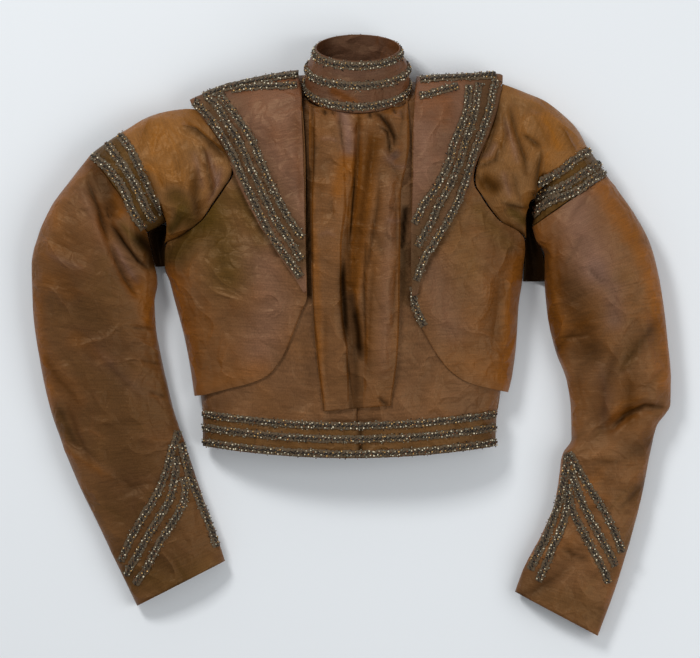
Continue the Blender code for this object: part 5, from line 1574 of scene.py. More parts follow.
def smooth_line(keys: Array, values: Array, at: Array) -> Array:
    """Smooth curve through every value, as one coordinate of a drawn line."""
    return curve(keys, values, np.gradient(values, keys), at)


@dataclass
class Braid:
    """One row of beaded braid: a gimp tape, a twisted cord and its beads.

    Attributes:
        node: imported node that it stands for.
        lane: line that it is sewn along.
        seed: start of its random numbers.
        tape: half width of the tape in mm.
        pitch: mm that the cord runs in one twist.
        bright_step: mm between bright beads along one edge.
        bright: share of the bright beads that are there.
        closed: whether its two ends are joined.
    """

    node: str
    lane: Lane
    seed: int
    tape: float = 4.3
    pitch: float = 5.0
    bright_step: float = 3.6
    bright: float = 0.8
    closed: bool = False

    def build(self, gimp: bpy.types.Material, beads: bpy.types.Material) -> bpy.types.Object:
        """Make the braid's object.

        Args:
            gimp: finish of its threads.
            beads: finish of its beads.

        Returns:
            The new object.
        """
        rng = np.random.default_rng(self.seed)
        mesh = bmesh.new()
        tint = mesh.verts.layers.float_color.new("tint")
        self.add_tape(mesh, tint, rng)
        for start in (0.0, math.pi):
            self.add_strand(mesh, tint, start)
        strung = self.bead_mesh(rng)
        mesh.from_mesh(strung)
        bpy.data.meshes.remove(strung)
        made = finished_object(self.node + "_beads", mesh, [gimp, beads])
        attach(made, "root")
        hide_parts(self.node)
        return made

    def add_tape(self, mesh: bmesh.types.BMesh, tint: bmesh.types.BMLayerItem,
                 rng: np.random.Generator) -> None:
        """Add the tape's low ribbed strip."""
        steps = max(6, int(self.lane.length / RIB_STEP))
        verts, spots = grid(mesh, 6, steps)
        run = spots[:, 1] * self.lane.length
        share = spots[:, 0] * 2.0 - 1.0
        rank = np.round(spots[:, 1] * steps).astype(int)
        ragged = rng.uniform(0.74, 1.14, (2, steps + 1))
        ragged[:, -1] = ragged[:, 0]
        reach = self.tape * np.where(share < 0, ragged[0, rank], ragged[1, rank])
        rib = 0.22 * np.where(rank % 2, 1.0, -1.0)
        stand = 0.15 + (0.6 + rib) * np.sqrt(np.maximum(1.0 - np.abs(share) ** 3, 0.0))
        ends = np.clip(np.minimum(run, self.lane.length - run) / 1.2, 0.0, 1.0)
        points = self.lane.spot(run, share * reach, stand * (1.0 if self.closed else ends) - 0.1)
        colour = np.array(linear(TAPE_COLOUR))
        # Raised ribs get a lighter, varied tint and sunk ribs a darker one: painted light and shade
        # on the ribs.
        for vert, point, spot in zip(verts, points * MM, rank):
            vert.co = point
            vert[tint] = colour * (rng.uniform(0.9, 1.4) if spot % 2 else 0.75)
        if self.closed:
            bmesh.ops.remove_doubles(mesh, verts=verts, dist=5 * JOIN)

    def add_strand(self, mesh: bmesh.types.BMesh, tint: bmesh.types.BMLayerItem,
                   start: float) -> None:
        """Add one thread of the twisted cord along the middle."""
        steps = max(8, int(self.lane.length / TWIST_STEP))
        verts, spots = grid(mesh, 5, steps)
        run = spots[:, 1] * self.lane.length
        turns = max(1, round(self.lane.length / self.pitch))
        twist = run / self.lane.length * turns * 2.0 * math.pi + start
        around = spots[:, 0] * 2.0 * math.pi
        aside = 0.85 * np.cos(twist) + STRAND * np.cos(around)
        stand = 1.0 + 0.4 * np.sin(twist) + STRAND * np.sin(around)
        points = self.lane.spot(run, aside, stand)
        colour = linear(STRAND_COLOURS[bool(start)])
        for vert, point in zip(verts, points * MM):
            vert.co = point
            vert[tint] = colour
        bmesh.ops.remove_doubles(mesh, verts=verts, dist=JOIN)

    def bead_mesh(self, rng: np.random.Generator) -> bpy.types.Mesh:
        """All of the braid's beads as one mesh, in the second material slot."""
        length = self.lane.length
        rows: list[tuple[float, float, float, float, Bead]] = []
        for index in range(int(length / DARK_STEP)):
            run = (index + 0.5 + rng.uniform(-0.45, 0.45)) * DARK_STEP
            aside = 0.9 * (-1) ** index + rng.uniform(-0.8, 0.8)
            kind = Bead.JET if rng.random() < 0.72 else Bead.AMBER
            rows.append((run, aside, 1.4 + rng.uniform(-0.3, 0.3), rng.uniform(0.7, 1.1), kind))
        for edge in (-1.0, 1.0):
            for index in range(int(length / self.bright_step)):
                shift = 0.25 if edge < 0 else 0.75
                run = (index + shift + rng.uniform(-0.35, 0.35)) * self.bright_step
                if rng.random() < self.bright:
                    aside = edge * rng.uniform(1.0, 3.3)
                    kind = BRIGHTS[int(rng.integers(len(BRIGHTS)))]
                    stand = 1.3 + rng.uniform(-0.2, 0.5)
                    rows.append((run, aside, stand, rng.uniform(0.65, 1.15), kind))
                if rng.random() < 0.85:
                    away = edge * rng.uniform(2.4, 1.2 + self.tape)
                    other = STRAYS[int(rng.integers(len(STRAYS)))]
                    run += rng.uniform(-1.8, 1.8)
                    rows.append((run, away, 0.8, rng.uniform(0.5, 0.9), other))
        facts = np.array([row[:4] for row in rows])
        facts[:, 0] = np.clip(facts[:, 0], 0.4, length - 0.4)
        centres = self.lane.spot(facts[:, 0], facts[:, 1], facts[:, 2])
        tints = np.array([linear(row[4].value) for row in rows])
        tints[:, :3] *= rng.uniform(0.75, 1.2, (len(rows), 1))
        return strung_beads(self.node + "_strung", centres, facts[:, 3], tints, rng)


def strung_beads(name: str, centres: Array, radii: Array, tints: Array,
                 rng: np.random.Generator) -> bpy.types.Mesh:
    """Many small faceted beads as one mesh.

    Args:
        name: name of the mesh.
        centres: centre of each bead in mm.
        radii: radius of each bead in mm.
        tints: linear colour of each bead.
        rng: random numbers that turn the beads.

    Returns:
        A mesh whose faces use the second material slot.
    """
    ball = bmesh.new()
    bmesh.ops.create_icosphere(ball, subdivisions=1, radius=1.0)
    ball.verts.ensure_lookup_table()
    corners = np.array([vert.co[:] for vert in ball.verts])
    faces = np.array([[vert.index for vert in face.verts] for face in ball.faces])
    ball.free()
    turns = rng.normal(size=(len(centres), 4))
    turns /= np.linalg.norm(turns, axis=1, keepdims=True)
    w, x, y, z = turns.T
    spin = np.stack([
        1 - 2 * (y * y + z * z), 2 * (x * y - w * z), 2 * (x * z + w * y),
        2 * (x * y + w * z), 1 - 2 * (x * x + z * z), 2 * (y * z - w * x),
        2 * (x * z - w * y), 2 * (y * z + w * x), 1 - 2 * (x * x + y * y),
    ], axis=1).reshape(-1, 3, 3)
    points = np.einsum("nij,kj->nki", spin, corners) * radii[:, None, None] + centres[:, None, :]
    start = np.arange(len(centres)) * len(corners)
    mesh = bpy.data.meshes.new(name)
    every = (faces[None] + start[:, None, None]).reshape(-1, 3)
    mesh.from_pydata((points.reshape(-1, 3) * MM).tolist(), [], every.tolist())
    mesh.polygons.foreach_set("material_index", np.ones(len(every), np.int32))
    tint = mesh.attributes.new("tint", "FLOAT_COLOR", "POINT")
    tint.data.foreach_set("color", np.repeat(tints, len(corners), axis=0).ravel())
    return mesh


def linear(code: str) -> tuple[float, float, float, float]:
    """Turn an sRGB hex value into a linear colour."""
    parts = [int(code[spot:spot + 2], 16) / 255.0 for spot in (0, 2, 4)]
    rgb = [part / 12.92 if part <= 0.04045 else ((part + 0.055) / 1.055) ** 2.4 for part in parts]
    return (rgb[0], rgb[1], rgb[2], 1.0)


def add_node(tree: bpy.types.NodeTree, kind: str, sockets: Optional[dict] = None,
             **settings: object) -> bpy.types.Node:
    """Add a node with its settings and links.

    Args:
        tree: node tree to add to.
        kind: type name of the node.
        sockets: input name or number to a value, or to an output socket to link.
        settings: the node's own properties.

    Returns:
        The new node.
    """
    made = tree.nodes.new(kind)
    for name, value in settings.items():
        setattr(made, name, value)
    for key, value in (sockets or {}).items():
        if isinstance(value, bpy.types.NodeSocket):
            tree.links.new(value, made.inputs[key])
        else:
            made.inputs[key].default_value = value
    return made


def set_inputs(node: bpy.types.Node, values: dict[str, object]) -> None:
    """Set a node's inputs by name."""
    for name, value in values.items():
        node.inputs[name].default_value = value


def blank_material(name: str) -> tuple[bpy.types.Material, bpy.types.NodeTree, bpy.types.Node]:
    """A new material with its tree and its Principled shader."""
    made = bpy.data.materials.new(name)
    made.use_nodes = True
    return made, made.node_tree, made.node_tree.nodes["Principled BSDF"]


def maths(tree: bpy.types.NodeTree, operation: str, *values: object) -> bpy.types.NodeSocket:
    """Join numbers or sockets with one operation."""
    sockets = dict(enumerate(values))
    return add_node(tree, "ShaderNodeMath", sockets, operation=operation).outputs[0]


def tone_base(tree: bpy.types.NodeTree, shader: bpy.types.Node, colour: object,
              tone: object) -> None:
    """Give a shader its base colour, made lighter or darker by a tone.

    Args:
        tree: node tree of the shader.
        shader: the Principled shader.
        colour: colour or socket.
        tone: number or socket that it is multiplied by.
    """
    toned = add_node(tree, "ShaderNodeVectorMath", {0: colour, "Scale": tone}, operation="SCALE")
    tree.links.new(toned.outputs[0], shader.inputs["Base Color"])


# Painted light: the bronze copy is lighter and warmer for the puffs, the dark copy has a darker
# olive for cloth lying in shade, and the mauve copy has the shot weave's mauve cast.
class LitSilk(Enum):
    """The record's silk slots, which differ in how the light takes them."""

    PLAIN = "silk"
    BRONZE = "silk_bronze"
    DARK = "silk_dark"
    MAUVE = "silk_mauve"


# For each lit copy of the silk, sRGB colours of level cloth, of cloth tilted away (painted sheen)
# and of olive cloth (painted shade in some hollows, the cloth's own cast elsewhere).
LIT_SILK_COLOURS = {
    LitSilk.PLAIN: ("6a472a", "814c18", "563e14"),
    LitSilk.BRONZE: ("75502c", "865218", "563e14"),
    LitSilk.DARK: ("69482e", "75481c", "4a3716"),
    LitSilk.MAUVE: ("6f4e3b", "794620", "503a20"),
}
# The mauve cast, also used for painted highlights on crests; the colour that painted shade turns
# the silk toward; and the tints of the gloss and the sheen.
MAUVE_CAST = "765748"
SHADE_COLOUR = "2e1903"
GLOSS_TINT = "ecc596"
SHEEN_TINT = "d9a070"


@dataclass(frozen=True)
class ShotTaffeta:
    """Silk taffeta, woven with one colour along and another across.

    Plain weave in fine thread: level cloth looks taupe; cloth that tilts from level is painted
    toward orange bronze by its slope, a painted sheen for the shot weave's change of colour with
    the angle of light and view; painted shade and olive darken hollows and creases, and the
    crumpled facets' low parts are painted darker; uneven thread draws faint streaks across.

    Attributes:
        lit_copy: which of the record's slots it is for.
        streak_mm: length and thickness of the streaks.
        thread_mm: weave spacing, drawn about five times the real one so that it shows.
        cloud_mm: size of the slow changes of colour.
        crumple_mm: size of the crumpled ridges.
        crumple_m: how high they stand in m.
        crinkles: size in mm and strength of each set of crisp facets.
        roughness: of the silk, from 0 for a mirror to 1.
        gloss: strength of its highlights.
    """

    lit_copy: LitSilk
    streak_mm: tuple[float, float] = (30.0, 1.6)
    thread_mm: float = 1.3
    cloud_mm: float = 60.0
    crumple_mm: float = 46.0
    crumple_m: float = 0.0026
    crinkles: tuple[tuple[float, float], ...] = ((40.0, 1.35), (15.0, 0.62))
    roughness: float = 0.44
    gloss: float = 0.34

    def build(self) -> bpy.types.Material:
        """Make the material."""
        made, tree, shader = blank_material("shot_taffeta_" + self.lit_copy.value)
        warm, shade, mauve = (
            add_node(tree, "ShaderNodeAttribute", attribute_name=name).outputs["Fac"]
            for name in TINTS
        )
        spot = add_node(tree, "ShaderNodeTexCoord").outputs["Object"]
        facets = self.facets(tree, spot)
        crumple = add_node(tree, "ShaderNodeBump", {
            "Height": facets, "Strength": 1.0, "Distance": self.crumple_m,
        }).outputs["Normal"]
        streak = self.weave(tree, self.streak_mm, 2.0)
        thread = self.weave(tree, (self.thread_mm, self.thread_mm / 0.7), 1.0)
        colour = self.colour(tree, self.heat(tree, spot, crumple, warm), warm, shade, mauve)
        # Painted shade: the shade layer scales down the base colour here and the gloss below.
        dark = maths(tree, "SUBTRACT", 1.0, shade)
        tone = dark
        # Streaks and weave vary the thread's tone; the crumpled facets' height also makes the
        # colour lighter where they stand high and darker where they sink, painted light and shade
        # over their bump.
        for texture, share, least in (
            (streak, 0.66, 0.67), (thread, 0.7, 0.65), (facets, 0.22, 0.82),
        ):
            part = maths(tree, "MULTIPLY_ADD", texture, share, least)
            tone = maths(tree, "MULTIPLY", tone, part)
        tone_base(tree, shader, colour, tone)
        bump = add_node(tree, "ShaderNodeBump", {
            "Height": maths(tree, "MULTIPLY_ADD", thread, 0.5, streak), "Strength": 0.3,
            "Distance": 0.0007, "Normal": crumple,
        }).outputs["Normal"]
        tree.links.new(bump, shader.inputs["Normal"])
        gloss = maths(tree, "MULTIPLY", dark, self.gloss)
        tree.links.new(gloss, shader.inputs["Specular IOR Level"])
        set_inputs(shader, {
            "Roughness": self.roughness, "Specular Tint": linear(GLOSS_TINT),
            "Sheen Weight": 0.05, "Sheen Roughness": 0.35, "Sheen Tint": linear(SHEEN_TINT),
        })
        return made

    def facets(self, tree: bpy.types.NodeTree, spot: object) -> bpy.types.NodeSocket:
        """Height of the crumpled ridges with the crisp facets between them."""
        height = add_node(tree, "ShaderNodeTexNoise", {
            "Vector": spot, "Scale": 1000.0 / self.crumple_mm, "Detail": 2.5, "Roughness": 0.5,
            "Distortion": 0.5, "Offset": 0.95,
        }, noise_type="RIDGED_MULTIFRACTAL").outputs["Fac"]
        for size, share in self.crinkles:
            height = maths(tree, "MULTIPLY_ADD", self.crinkle(tree, spot, size), share, height)
        return height

    def weave(self, tree: bpy.types.NodeTree, size_mm: tuple[float, float],
              detail: float) -> bpy.types.NodeSocket:
        """Noise drawn out along the cloth's own two ways.

        Args:
            tree: node tree to add to.
            size_mm: size of its marks across and along, in mm.
            detail: how fine it is.

        Returns:
            The noise's socket.
        """
        flat = add_node(tree, "ShaderNodeUVMap", uv_map="cloth").outputs["UV"]
        drawn = add_node(tree, "ShaderNodeMapping", {
            "Vector": flat, "Scale": (1000.0 / size_mm[0], 1000.0 / size_mm[1], 1.0),
        }).outputs["Vector"]
        return add_node(tree, "ShaderNodeTexNoise", {
            "Vector": drawn, "Scale": 1.0, "Detail": detail, "Roughness": 0.5,
        }).outputs["Fac"]

    def heat(self, tree: bpy.types.NodeTree, spot: object, crumple: object,
             warm: object) -> bpy.types.NodeSocket:
        """How far the shot colour turns to orange bronze, with painted sheen by slope.

        Args:
            tree: node tree to add to.
            spot: place on the cloth in m.
            crumple: direction that the crumpled cloth faces.
            warm: warmth that the panel gives.

        Returns:
            The share's socket.
        """
        # Painted sheen: the further the crumpled cloth tilts from level, the further it is painted
        # toward bronze, in place of the shot weave's change of colour with the angle of light and
        # view.
        upright = add_node(tree, "ShaderNodeSeparateXYZ", {0: crumple}).outputs["Z"]
        slope = add_node(tree, "ShaderNodeMapRange", {
            "Value": maths(tree, "ABSOLUTE", upright), "From Min": 0.95, "From Max": 0.35,
            "To Min": 0.0, "To Max": 0.75,
        }).outputs["Result"]
        cloud = add_node(tree, "ShaderNodeTexNoise", {
            "Vector": spot, "Scale": 1000.0 / self.cloud_mm, "Detail": 3.0, "Roughness": 0.55,
        }).outputs["Fac"]
        drift = maths(tree, "MULTIPLY_ADD", cloud, 1.1, -0.56)
        return maths(tree, "ADD", maths(tree, "MULTIPLY_ADD", slope, 0.9, warm), drift)

    def colour(self, tree: bpy.types.NodeTree, heat: object, warm: object, shade: object,
               mauve: object) -> bpy.types.NodeSocket:
        """Colour of the silk, with painted sheen, highlights and shade, before its light and dark
        tone.

        Args:
            tree: node tree to add to.
            heat: how far it turns to orange bronze, in part a painted sheen by slope.
            warm: warmth that the panel gives, which turns it to olive where negative.
            shade: painted shade of the hollow that it lies in.
            mauve: how far it turns to mauve, a painted highlight on crests.

        Returns:
            The colour's socket.
        """
        level, tilted, olive = (linear(code) for code in LIT_SILK_COLOURS[self.lit_copy])
        colour = self.mix(tree, heat, level, tilted)
        colour = self.mix(tree, mauve, colour, linear(MAUVE_CAST))
        colour = self.mix(tree, maths(tree, "MULTIPLY", warm, -1.0), colour, olive)
        return self.mix(tree, maths(tree, "MULTIPLY", shade, 0.75), colour, linear(SHADE_COLOUR))

    def crinkle(self, tree: bpy.types.NodeTree, spot: object,
                size: float) -> bpy.types.NodeSocket:
        """Height of flat facets that meet in crisp lines.

        Args:
            tree: node tree to add to.
            spot: place on the cloth in m.
            size: size of the facets in mm.

        Returns:
            The height's socket.
        """
        wander = add_node(tree, "ShaderNodeTexNoise", {
            "Vector": spot, "Scale": 700.0 / size, "Detail": 2.0,
        }).outputs["Color"]
        bent = add_node(tree, "ShaderNodeVectorMath", {
            0: wander, 1: (size * 0.0012,) * 3, 2: spot,
        }, operation="MULTIPLY_ADD").outputs[0]
        return add_node(tree, "ShaderNodeTexVoronoi", {
            "Vector": bent, "Scale": 1000.0 / size,
        }, feature="DISTANCE_TO_EDGE").outputs["Distance"]

    def mix(self, tree: bpy.types.NodeTree, share: object, first: object,
            second: object) -> bpy.types.NodeSocket:
        """Blend two colours by a clamped share."""
        made = add_node(tree, "ShaderNodeMix", {0: share, 6: first, 7: second},
                        data_type="RGBA", clamp_factor=True)
        return made.outputs[2]


@dataclass(frozen=True)
class SilkGimp:
    """Silk thread wound round a core, matt and slightly fuzzy."""

    name: str = "silk_gimp_thread"
    strand_mm: float = 0.8

    def build(self) -> bpy.types.Material:
        """Make the material."""
        made, tree, shader = blank_material(self.name)
        tint = add_node(tree, "ShaderNodeAttribute", attribute_name="tint").outputs["Color"]
        spot = add_node(tree, "ShaderNodeTexCoord").outputs["Object"]
        fuzz = add_node(tree, "ShaderNodeTexNoise", {
            "Vector": spot, "Scale": 1000.0 / self.strand_mm, "Detail": 2.0,
        }).outputs["Fac"]
        tone_base(tree, shader, tint, maths(tree, "MULTIPLY_ADD", fuzz, 0.9, 0.5))
        bump = add_node(tree, "ShaderNodeBump", {
            "Height": fuzz, "Strength": 0.5, "Distance": 0.0005,
        }).outputs["Normal"]
        tree.links.new(bump, shader.inputs["Normal"])
        shader.inputs["Roughness"].default_value = 0.75
        return made


@dataclass(frozen=True)
class CutGlassBeads:
    """Small cut beads of jet, steel and lustred glass: hard facets that catch the light."""

    name: str = "cut_glass_and_steel_beads"

    def build(self) -> bpy.types.Material:
        """Make the material."""
        made, tree, shader = blank_material(self.name)
        tint = add_node(tree, "ShaderNodeAttribute", attribute_name="tint").outputs["Color"]
        spot = add_node(tree, "ShaderNodeTexCoord").outputs["Object"]
        wear = add_node(tree, "ShaderNodeTexNoise", {
            "Vector": spot, "Scale": 700.0, "Detail": 1.0,
        }).outputs["Fac"]
        tone_base(tree, shader, tint, maths(tree, "MULTIPLY_ADD", wear, 0.6, 0.7))
        set_inputs(shader, {"Metallic": 0.25, "Roughness": 0.22})
        return made


@dataclass(frozen=True)
class PaleFloor:
    """Smooth matt board, pale and faintly blue."""

    name: str = "pale_board"
    colour: str = "e9edf0"

    def build(self) -> bpy.types.Material:
        """Make the material."""
        made, tree, shader = blank_material(self.name)
        spot = add_node(tree, "ShaderNodeTexCoord").outputs["Object"]
        cloud = add_node(tree, "ShaderNodeTexNoise", {"Vector": spot, "Scale": 3.0}).outputs["Fac"]
        tone = maths(tree, "MULTIPLY_ADD", cloud, 0.02, 0.98)
        tone_base(tree, shader, linear(self.colour)[:3], tone)
        shader.inputs["Roughness"].default_value = 0.9
        return made


@dataclass
class Bodice:
    """Fronts, boleros, revers, pleated front, back and waistband.

    Attributes:
        form: the body that they lie on.
        waist_turn: how far round the waist its braid runs, in radians from the middle.
        band_face: mm from the waist's form to the band's outer side.
        sewn: mm that a braid's tape stands above the cloth that it is sewn to.
    """

    form: BodyForm = field(default_factory=BodyForm)
    waist_turn: float = 1.45
    band_face: float = 2.7
    sewn: float = 0.9

    def panels(self) -> list[Panel]:
        """All of the body's panels, in the order that they are sewn."""
        up = Vector((0.0, 0.0, 1.0))
        lie_left = Lie(list(LEFT_FRONT_CREASES)).scatter(
            11, 26, (170, 300, 180, 385), (62, 112), (18, 60), 0.55, (2.0, 5.0))
        lie_right = Lie(list(RIGHT_FRONT_CREASES)).scatter(
            12, 26, (415, 515, 150, 380), (68, 118), (18, 60), 0.55, (2.0, 5.0))
        lie_revers = Lie(list(REVERS_CREASES)).scatter(
            13, 14, (240, 305, 90, 250), (70, 110), (18, 50), 0.35, (2.0, 5.0))
        lie_under = Lie(list(FOUNDATION_CREASES))
        lie_pleats = Lie(list(PLEAT_CREASES)).scatter(
            14, 34, (312, 405, 120, 400), (62, 118), (14, 60), 1.2, (1.4, 3.0))
        lie_pleats.scatter(24, 26, (312, 405, 120, 400), (-30, 40), (8, 24), 0.9, (1.2, 2.4))
        lie_waist = Lie([Crease(((210, 432), (350, 445), (490, 432)), 0.0, 90.0, -0.35, 0.1, 2.0)])
        lie_waist.creases.append(Crease(((359, 412), (360, 440), (360, 462)), -1.2, 2.4, 0.0, 0.8))
        lie_waist.scatter(15, 30, (205, 495, 415, 455), (60, 120), (8, 20), 0.7, (1.6, 4.0))
        lie_back = Lie([Crease(((350, 250),), 0.0, 160.0, -0.1, 0.05)])
        return [
            Panel("back", Cut(0.38, 0.41, 0.134), (84, 90),
                  BackPanel(self.form, lie_back).shape, "silk_dark", -up),
            Panel("front_left", Cut(0.22, 0.42, 0.070), (56, 100),
                  FrontPanel(self.form, FRONT_LEFT, LEFT_SIDE, 0.0, lie_under, to_band=True).shape,
                  "silk_dark", up),
            Panel("front_right", Cut(0.21, 0.42, 0.064), (56, 100),
                  FrontPanel(self.form, FRONT_RIGHT, RIGHT_SIDE, 0.0, lie_under,
                             to_band=True).shape,
                  "silk_dark", up),
            Panel("bolero_left", Cut(0.16, 0.36, 0.047), (92, 130),
                  FrontPanel(self.form, BOLERO_LEFT, LEFT_SIDE, OVERLAY_TOP, lie_left, 4.5).shape,
                  "silk", up, rests_on=("front_left",)),
            Panel("bolero_right", Cut(0.14, 0.36, 0.040), (86, 130),
                  FrontPanel(self.form, BOLERO_RIGHT, RIGHT_SIDE, OVERLAY_TOP, lie_right,
                             5.5).shape,
                  "silk", up, rests_on=("front_right",)),
            Panel("plastron", Cut(0.15, 0.33, 0.046, Held.GATHERED),
                  (sum(PleatedFront.across_steps), 170),
                  PleatedFront(self.form, lie_pleats).shape, "silk", up, rests_on=("front_left",)),
            Panel("revers_left", Cut(0.13, 0.26, 0.0195), (52, 100),
                  ReversPanel(self.form, REVERS_LEFT, REVERS_TOP, lie_revers).shape,
                  "silk_mauve", up, rests_on=("bolero_left",)),
            Panel("revers_right", Cut(0.12, 0.25, 0.0165), (46, 100),
                  ReversPanel(self.form, REVERS_RIGHT, REVERS_TOP, lie_revers).shape,
                  "silk_mauve", up, rests_on=("bolero_right",)),
            Panel("waistband", Cut(0.70, 0.042, 0.029, Held.STRETCHED),
                  (240, 16), WaistRing(lie_waist).shape, wrapped=True),
        ]

    def braids(self) -> list[Braid]:
        """All of the braid on the body."""
        made = []
        for name, path in {**BRAIDS_ON_REVERS, **BRAIDS_ON_SHOULDER}.items():
            made.append((name, path, REVERS_TOP + self.sewn))
        made.append(("bolero_right_braid", BOLERO_BRAID, OVERLAY_TOP + self.sewn))
        braids = [
            Braid(name, self.lane(path, lift), seed)
            for seed, (name, path, lift) in enumerate(made, 100)
        ]
        for seed, (name, down) in enumerate(WAIST_BRAIDS.items(), 130):
            braids.append(Braid(name, self.waist_lane(down), seed))
        return braids

    def lane(self, path: Path, lift: float) -> Lane:
        """A lane along plan points of the upper side, at a height above it in mm."""
        line = PlanLine(path)

        def spot(run: Array, aside: Array, stand: Array) -> Array:
            """Points of the lane."""
            column, row = line.at(run, aside)
            return self.form.seen_at(column, row, lift + stand)

        return Lane(line.length, spot)

    def waist_lane(self, down: float) -> Lane:
        """A lane across the front of the waistband, at a share of its depth."""
        turn = np.linspace(-self.waist_turn, self.waist_turn, 160)
        column = WAIST_LANE[0] + WAIST_LANE[1] * np.sin(turn) / math.sin(self.waist_turn)
        middle = self.form.waist(column, band_row(column, np.full_like(column, down)))
        keys = running(middle)
        depth = (BAND_BOTTOM - BAND_TOP) * SQUARE

        def spot(run: Array, aside: Array, stand: Array) -> Array:
            """Points of the lane."""
            at = np.interp(run, keys, column)
            row = band_row(at, down + aside / depth)
            return moved_out(self.form.waist, at, row, self.band_face + stand, (0.04, 0.04))

        return Lane(float(keys[-1]), spot)


@dataclass
class StandingCollar:
    """The collar and its three rows of braid.

    Attributes:
        height: mm up the collar's slope.
        levels: share of that height at which each braid runs.
    """

    height: float = 52.0
    levels: tuple[tuple[str, float], ...] = (
        ("collar_braid_base", 0.12), ("collar_braid_middle", 0.52), ("collar_braid_top", 0.9),
    )

    def panels(self) -> list[Panel]:
        """The collar's one panel."""
        lie = Lie(list(COLLAR_CREASES))
        return [
            Panel("collar", Cut(0.30, 0.058, 0.0151, Held.STRETCHED), (200, 36),
                  CollarCloth(lie).shape, "silk_mauve", wrapped=True),
        ]

    def braids(self) -> list[Braid]:
        """The rows of braid round the collar."""
        return [
            Braid(name, self.lane(level), 150 + seed, closed=True)
            for seed, (name, level) in enumerate(self.levels)
        ]

    def lane(self, level: float) -> Lane:
        """A closed lane round the collar at a share of its height."""
        turn = np.linspace(-math.pi, math.pi, 240)
        keys = running(collar_point(turn, np.full_like(turn, level), COLLAR_FACE))

        def spot(run: Array, aside: Array, stand: Array) -> Array:
            """Points of the lane."""
            at = np.interp(run, keys, turn)
            return collar_point(at, level + aside / self.height, 1.2 + stand)

        return Lane(float(keys[-1]), spot)


@dataclass
class Sleeve:
    """One sleeve: its puffed head, its arm band, its long lower part and its braid.

    Attributes:
        name: left or right.
        side: the body's side that its head meets.
        puff_rows: stations of its head.
        band_rows: stations of its arm band.
        lower_rows: stations of its long lower part.
        creases: creases of the lower part.
        puff_creases: creases of the head.
        underarm: row, inner column and outer column of the scrap under the arm.
        ends: heights in mm of that scrap's two sides.
        scrap: its flat size.
        seed: start of its random numbers.
        band_tape: half width in mm of the tape on the arm band.
    """

    name: str
    side: Table
    puff_rows: Table
    band_rows: Table
    lower_rows: Table
    creases: tuple[Crease, ...]
    puff_creases: tuple[Crease, ...]
    underarm: Table
    ends: tuple[float, float]
    scrap: Cut
    seed: int
    band_tape: float = 5.0

    def __post_init__(self) -> None:
        """Lay the sleeve's three tubes on their forms."""
        self.puff = SleeveCloth(SleeveForm(self.puff_rows, self.side), Lie(list(self.puff_creases)))
        middle = self.band_rows[1]
        band_lie = Lie([Crease((middle[:2], middle[2:4]), 0.0, 60.0, -0.7, 0.2, 2.0)])
        self.band = SleeveCloth(SleeveForm(self.band_rows), band_lie)
        lower = SleeveForm(self.lower_rows, None, SLEEVE_FOLDS[self.name])
        columns = [row[0] for row in self.lower_rows] + [row[2] for row in self.lower_rows]
        box = (min(columns), max(columns), *SLEEVE_ROWS)
        slant = SLEEVE_SLANTS[self.name]
        lie = Lie(list(self.creases)).scatter(self.seed, 60, box, slant, (14, 55), 1.2, (1.4, 3.6))
        broad, cross = (slant[0] - 30, slant[1] + 10), (slant[0] + 40, slant[1] + 50)
        lie.scatter(self.seed + 2, 16, box, broad, (50, 110), 3.2, (6.0, 12.0))
        lie.scatter(self.seed + 1, 30, box, cross, (14, 40), 0.8, (1.2, 3.0))
        self.lower = SleeveCloth(lower, lie)

    def panels(self) -> list[Panel]:
        """The sleeve's panels from the shoulder down."""
        up = Vector((0.0, 0.0, 1.0))
        name = self.name
        return [
            Panel(f"sleeve_puff_{name}", Cut(0.36, 0.10, 0.028, Held.GATHERED), (150, 66),
                  self.puff.shape,
                  "silk_bronze", wrapped=True),
            Panel(f"arm_band_{name}", Cut(0.30, 0.034, 0.0084),
                  (120, 18), self.band.shape, wrapped=True),
            Panel(f"sleeve_{name}", Cut(0.36, 0.50, 0.127), (124, 190),
                  self.lower.shape, wrapped=True),
            Panel(f"underarm_{name}", self.scrap, (10, 24),
                  UnderarmCloth(self.underarm, *self.ends).shape, "silk_dark", up),
        ]

    def braids(self) -> list[Braid]:
        """The braid on the arm band and the cuff."""
        made = []
        for seed, (node, path) in enumerate(ARM_BRAIDS.items(), self.seed + 200):
            if node.startswith(f"arm_band_{self.name}"):
                made.append(Braid(node, self.arm_lane(path), seed, self.band_tape))
        for seed, (name, path) in enumerate(CUFF_BRAIDS.items(), self.seed + 300):
            if name.startswith(f"cuff_{self.name}"):
                made.append(Braid(name, self.cuff_lane(path), seed))
        return made

    def arm_lane(self, path: Path) -> Lane:
        """A lane along plan points over the arm band."""
        line = PlanLine(path)
        rows = [row[:6] for row in (*self.puff_rows[-3:-1], *self.band_rows, *self.lower_rows[1:3])]
        form = SleeveForm(tuple(rows))

        def spot(run: Array, aside: Array, stand: Array) -> Array:
            """Points of the lane."""
            at, around = form.locate(*line.at(run, aside))
            return form.lifted(at, around, 1.2 + stand)

        return Lane(line.length, spot)

    def cuff_lane(self, path: Path) -> Lane:
        """A lane along plan points of the upper side of the sleeve."""
        line = PlanLine(path)

        def spot(run: Array, aside: Array, stand: Array) -> Array:
            """Points of the lane."""
            column, row = line.at(run, aside)
            at, around = self.lower.form.locate(column, row)
            return self.lower.outside(at, around, 0.6 + stand)

        return Lane(line.length, spot)


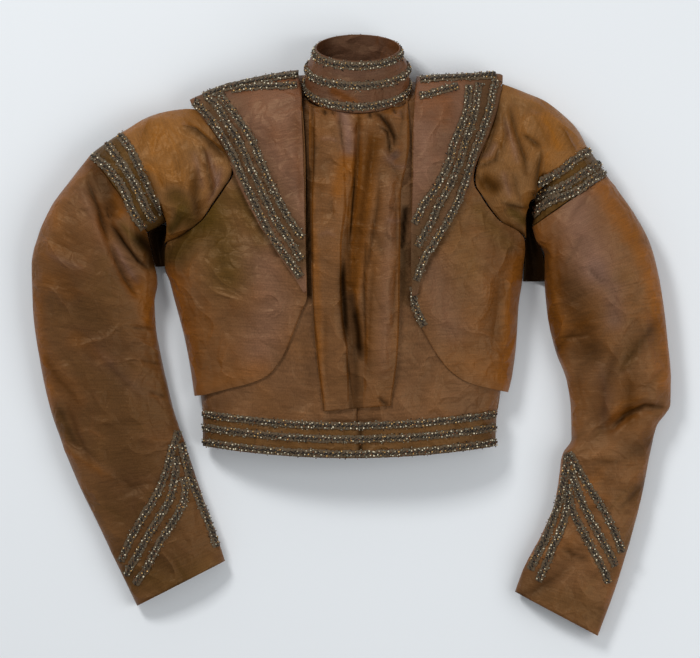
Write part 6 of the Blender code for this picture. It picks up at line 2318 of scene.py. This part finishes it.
@dataclass(frozen=True)
class Studio:
    """Pale floor, soft lights and a camera straight above.

    Attributes:
        distance: m from the camera to the level that the scale is set at.
        level: that level, in m above the floor.
        centre: plan place in m that the camera looks at.
        frame_width: m across the picture at that level.
        sensor: width of the camera's sensor in mm.
        lights: name, place, size and power of each light.
        sky: colour and strength of the light from all round.
    """

    distance: float = 16.0
    level: float = 0.022
    centre: tuple[float, float] = (-0.0014, 0.0067)
    frame_width: float = 0.770
    sensor: float = 36.0
    lights: tuple[tuple[str, tuple[float, float, float], float, float], ...] = (
        ("key_light", (-1.4, 1.8, 2.3), 0.8, 51.0), ("fill_light", (1.9, -0.4, 2.2), 2.0, 33.0),
    )
    sky: tuple[str, float] = ("f1f3f6", 0.41)

    def build(self) -> None:
        """Make the floor, the lights and the camera."""
        mesh = bmesh.new()
        bmesh.ops.create_grid(mesh, x_segments=8, y_segments=8, size=4.0)
        floor = finished_object("studio_floor", mesh, [PaleFloor().build()])
        for light in self.lights:
            self.area_light(*light)
        world = bpy.data.worlds.new("studio")
        world.use_nodes = True
        inputs = world.node_tree.nodes["Background"].inputs
        inputs["Color"].default_value = linear(self.sky[0])
        inputs["Strength"].default_value = self.sky[1]
        bpy.context.scene.world = world
        lens = bpy.data.cameras.new("camera")
        lens.sensor_width = self.sensor
        lens.lens = self.sensor * self.distance / self.frame_width
        lens.clip_end = 60.0
        camera = bpy.data.objects.new("camera", lens)
        camera.location = (*self.centre, self.level + self.distance)
        bpy.context.collection.objects.link(camera)
        bpy.context.scene.camera = camera
        bpy.context.scene.view_settings.view_transform = "Standard"

    def area_light(self, name: str, spot: tuple[float, float, float], size: float,
                   power: float) -> None:
        """Add a square light aimed at the jacket."""
        light = bpy.data.lights.new(name, "AREA")
        light.size = size
        light.energy = power
        made = bpy.data.objects.new(name, light)
        made.location = spot
        made.rotation_euler = (-Vector(spot)).to_track_quat("-Z", "Y").to_euler()
        bpy.context.collection.objects.link(made)


def report(piece: bpy.types.Object) -> None:
    """Log one finished piece."""
    logging.info("%s: %d faces", piece.name, len(piece.data.polygons))


def main() -> None:
    """Build the jacket's pieces in order, dress them and set up the studio."""
    logging.basicConfig(level=logging.INFO, format="%(message)s")
    silk = {slot.value: ShotTaffeta(slot).build() for slot in LitSilk}
    gimp = SilkGimp().build()
    beads = CutGlassBeads().build()
    sleeves = (
        Sleeve("left", LEFT_SIDE, PUFF_LEFT, BAND_LEFT, SLEEVE_LEFT, LEFT_SLEEVE_CREASES,
               LEFT_PUFF_CREASES, UNDERARM_LEFT, (18.0, 14.0), Cut(0.03, 0.06, 0.0014), 21),
        Sleeve("right", RIGHT_SIDE, PUFF_RIGHT, BAND_RIGHT, SLEEVE_RIGHT, RIGHT_SLEEVE_CREASES,
               RIGHT_PUFF_CREASES, UNDERARM_RIGHT, (14.0, 18.0), Cut(0.035, 0.09, 0.0023), 22),
    )
    for part in (Bodice(), StandingCollar(), *sleeves):
        for panel in part.panels():
            report(panel.build(silk[panel.slot]))
        for braid in part.braids():
            report(braid.build(gimp, beads))
    Studio().build()


if __name__ == "__main__":
    main()
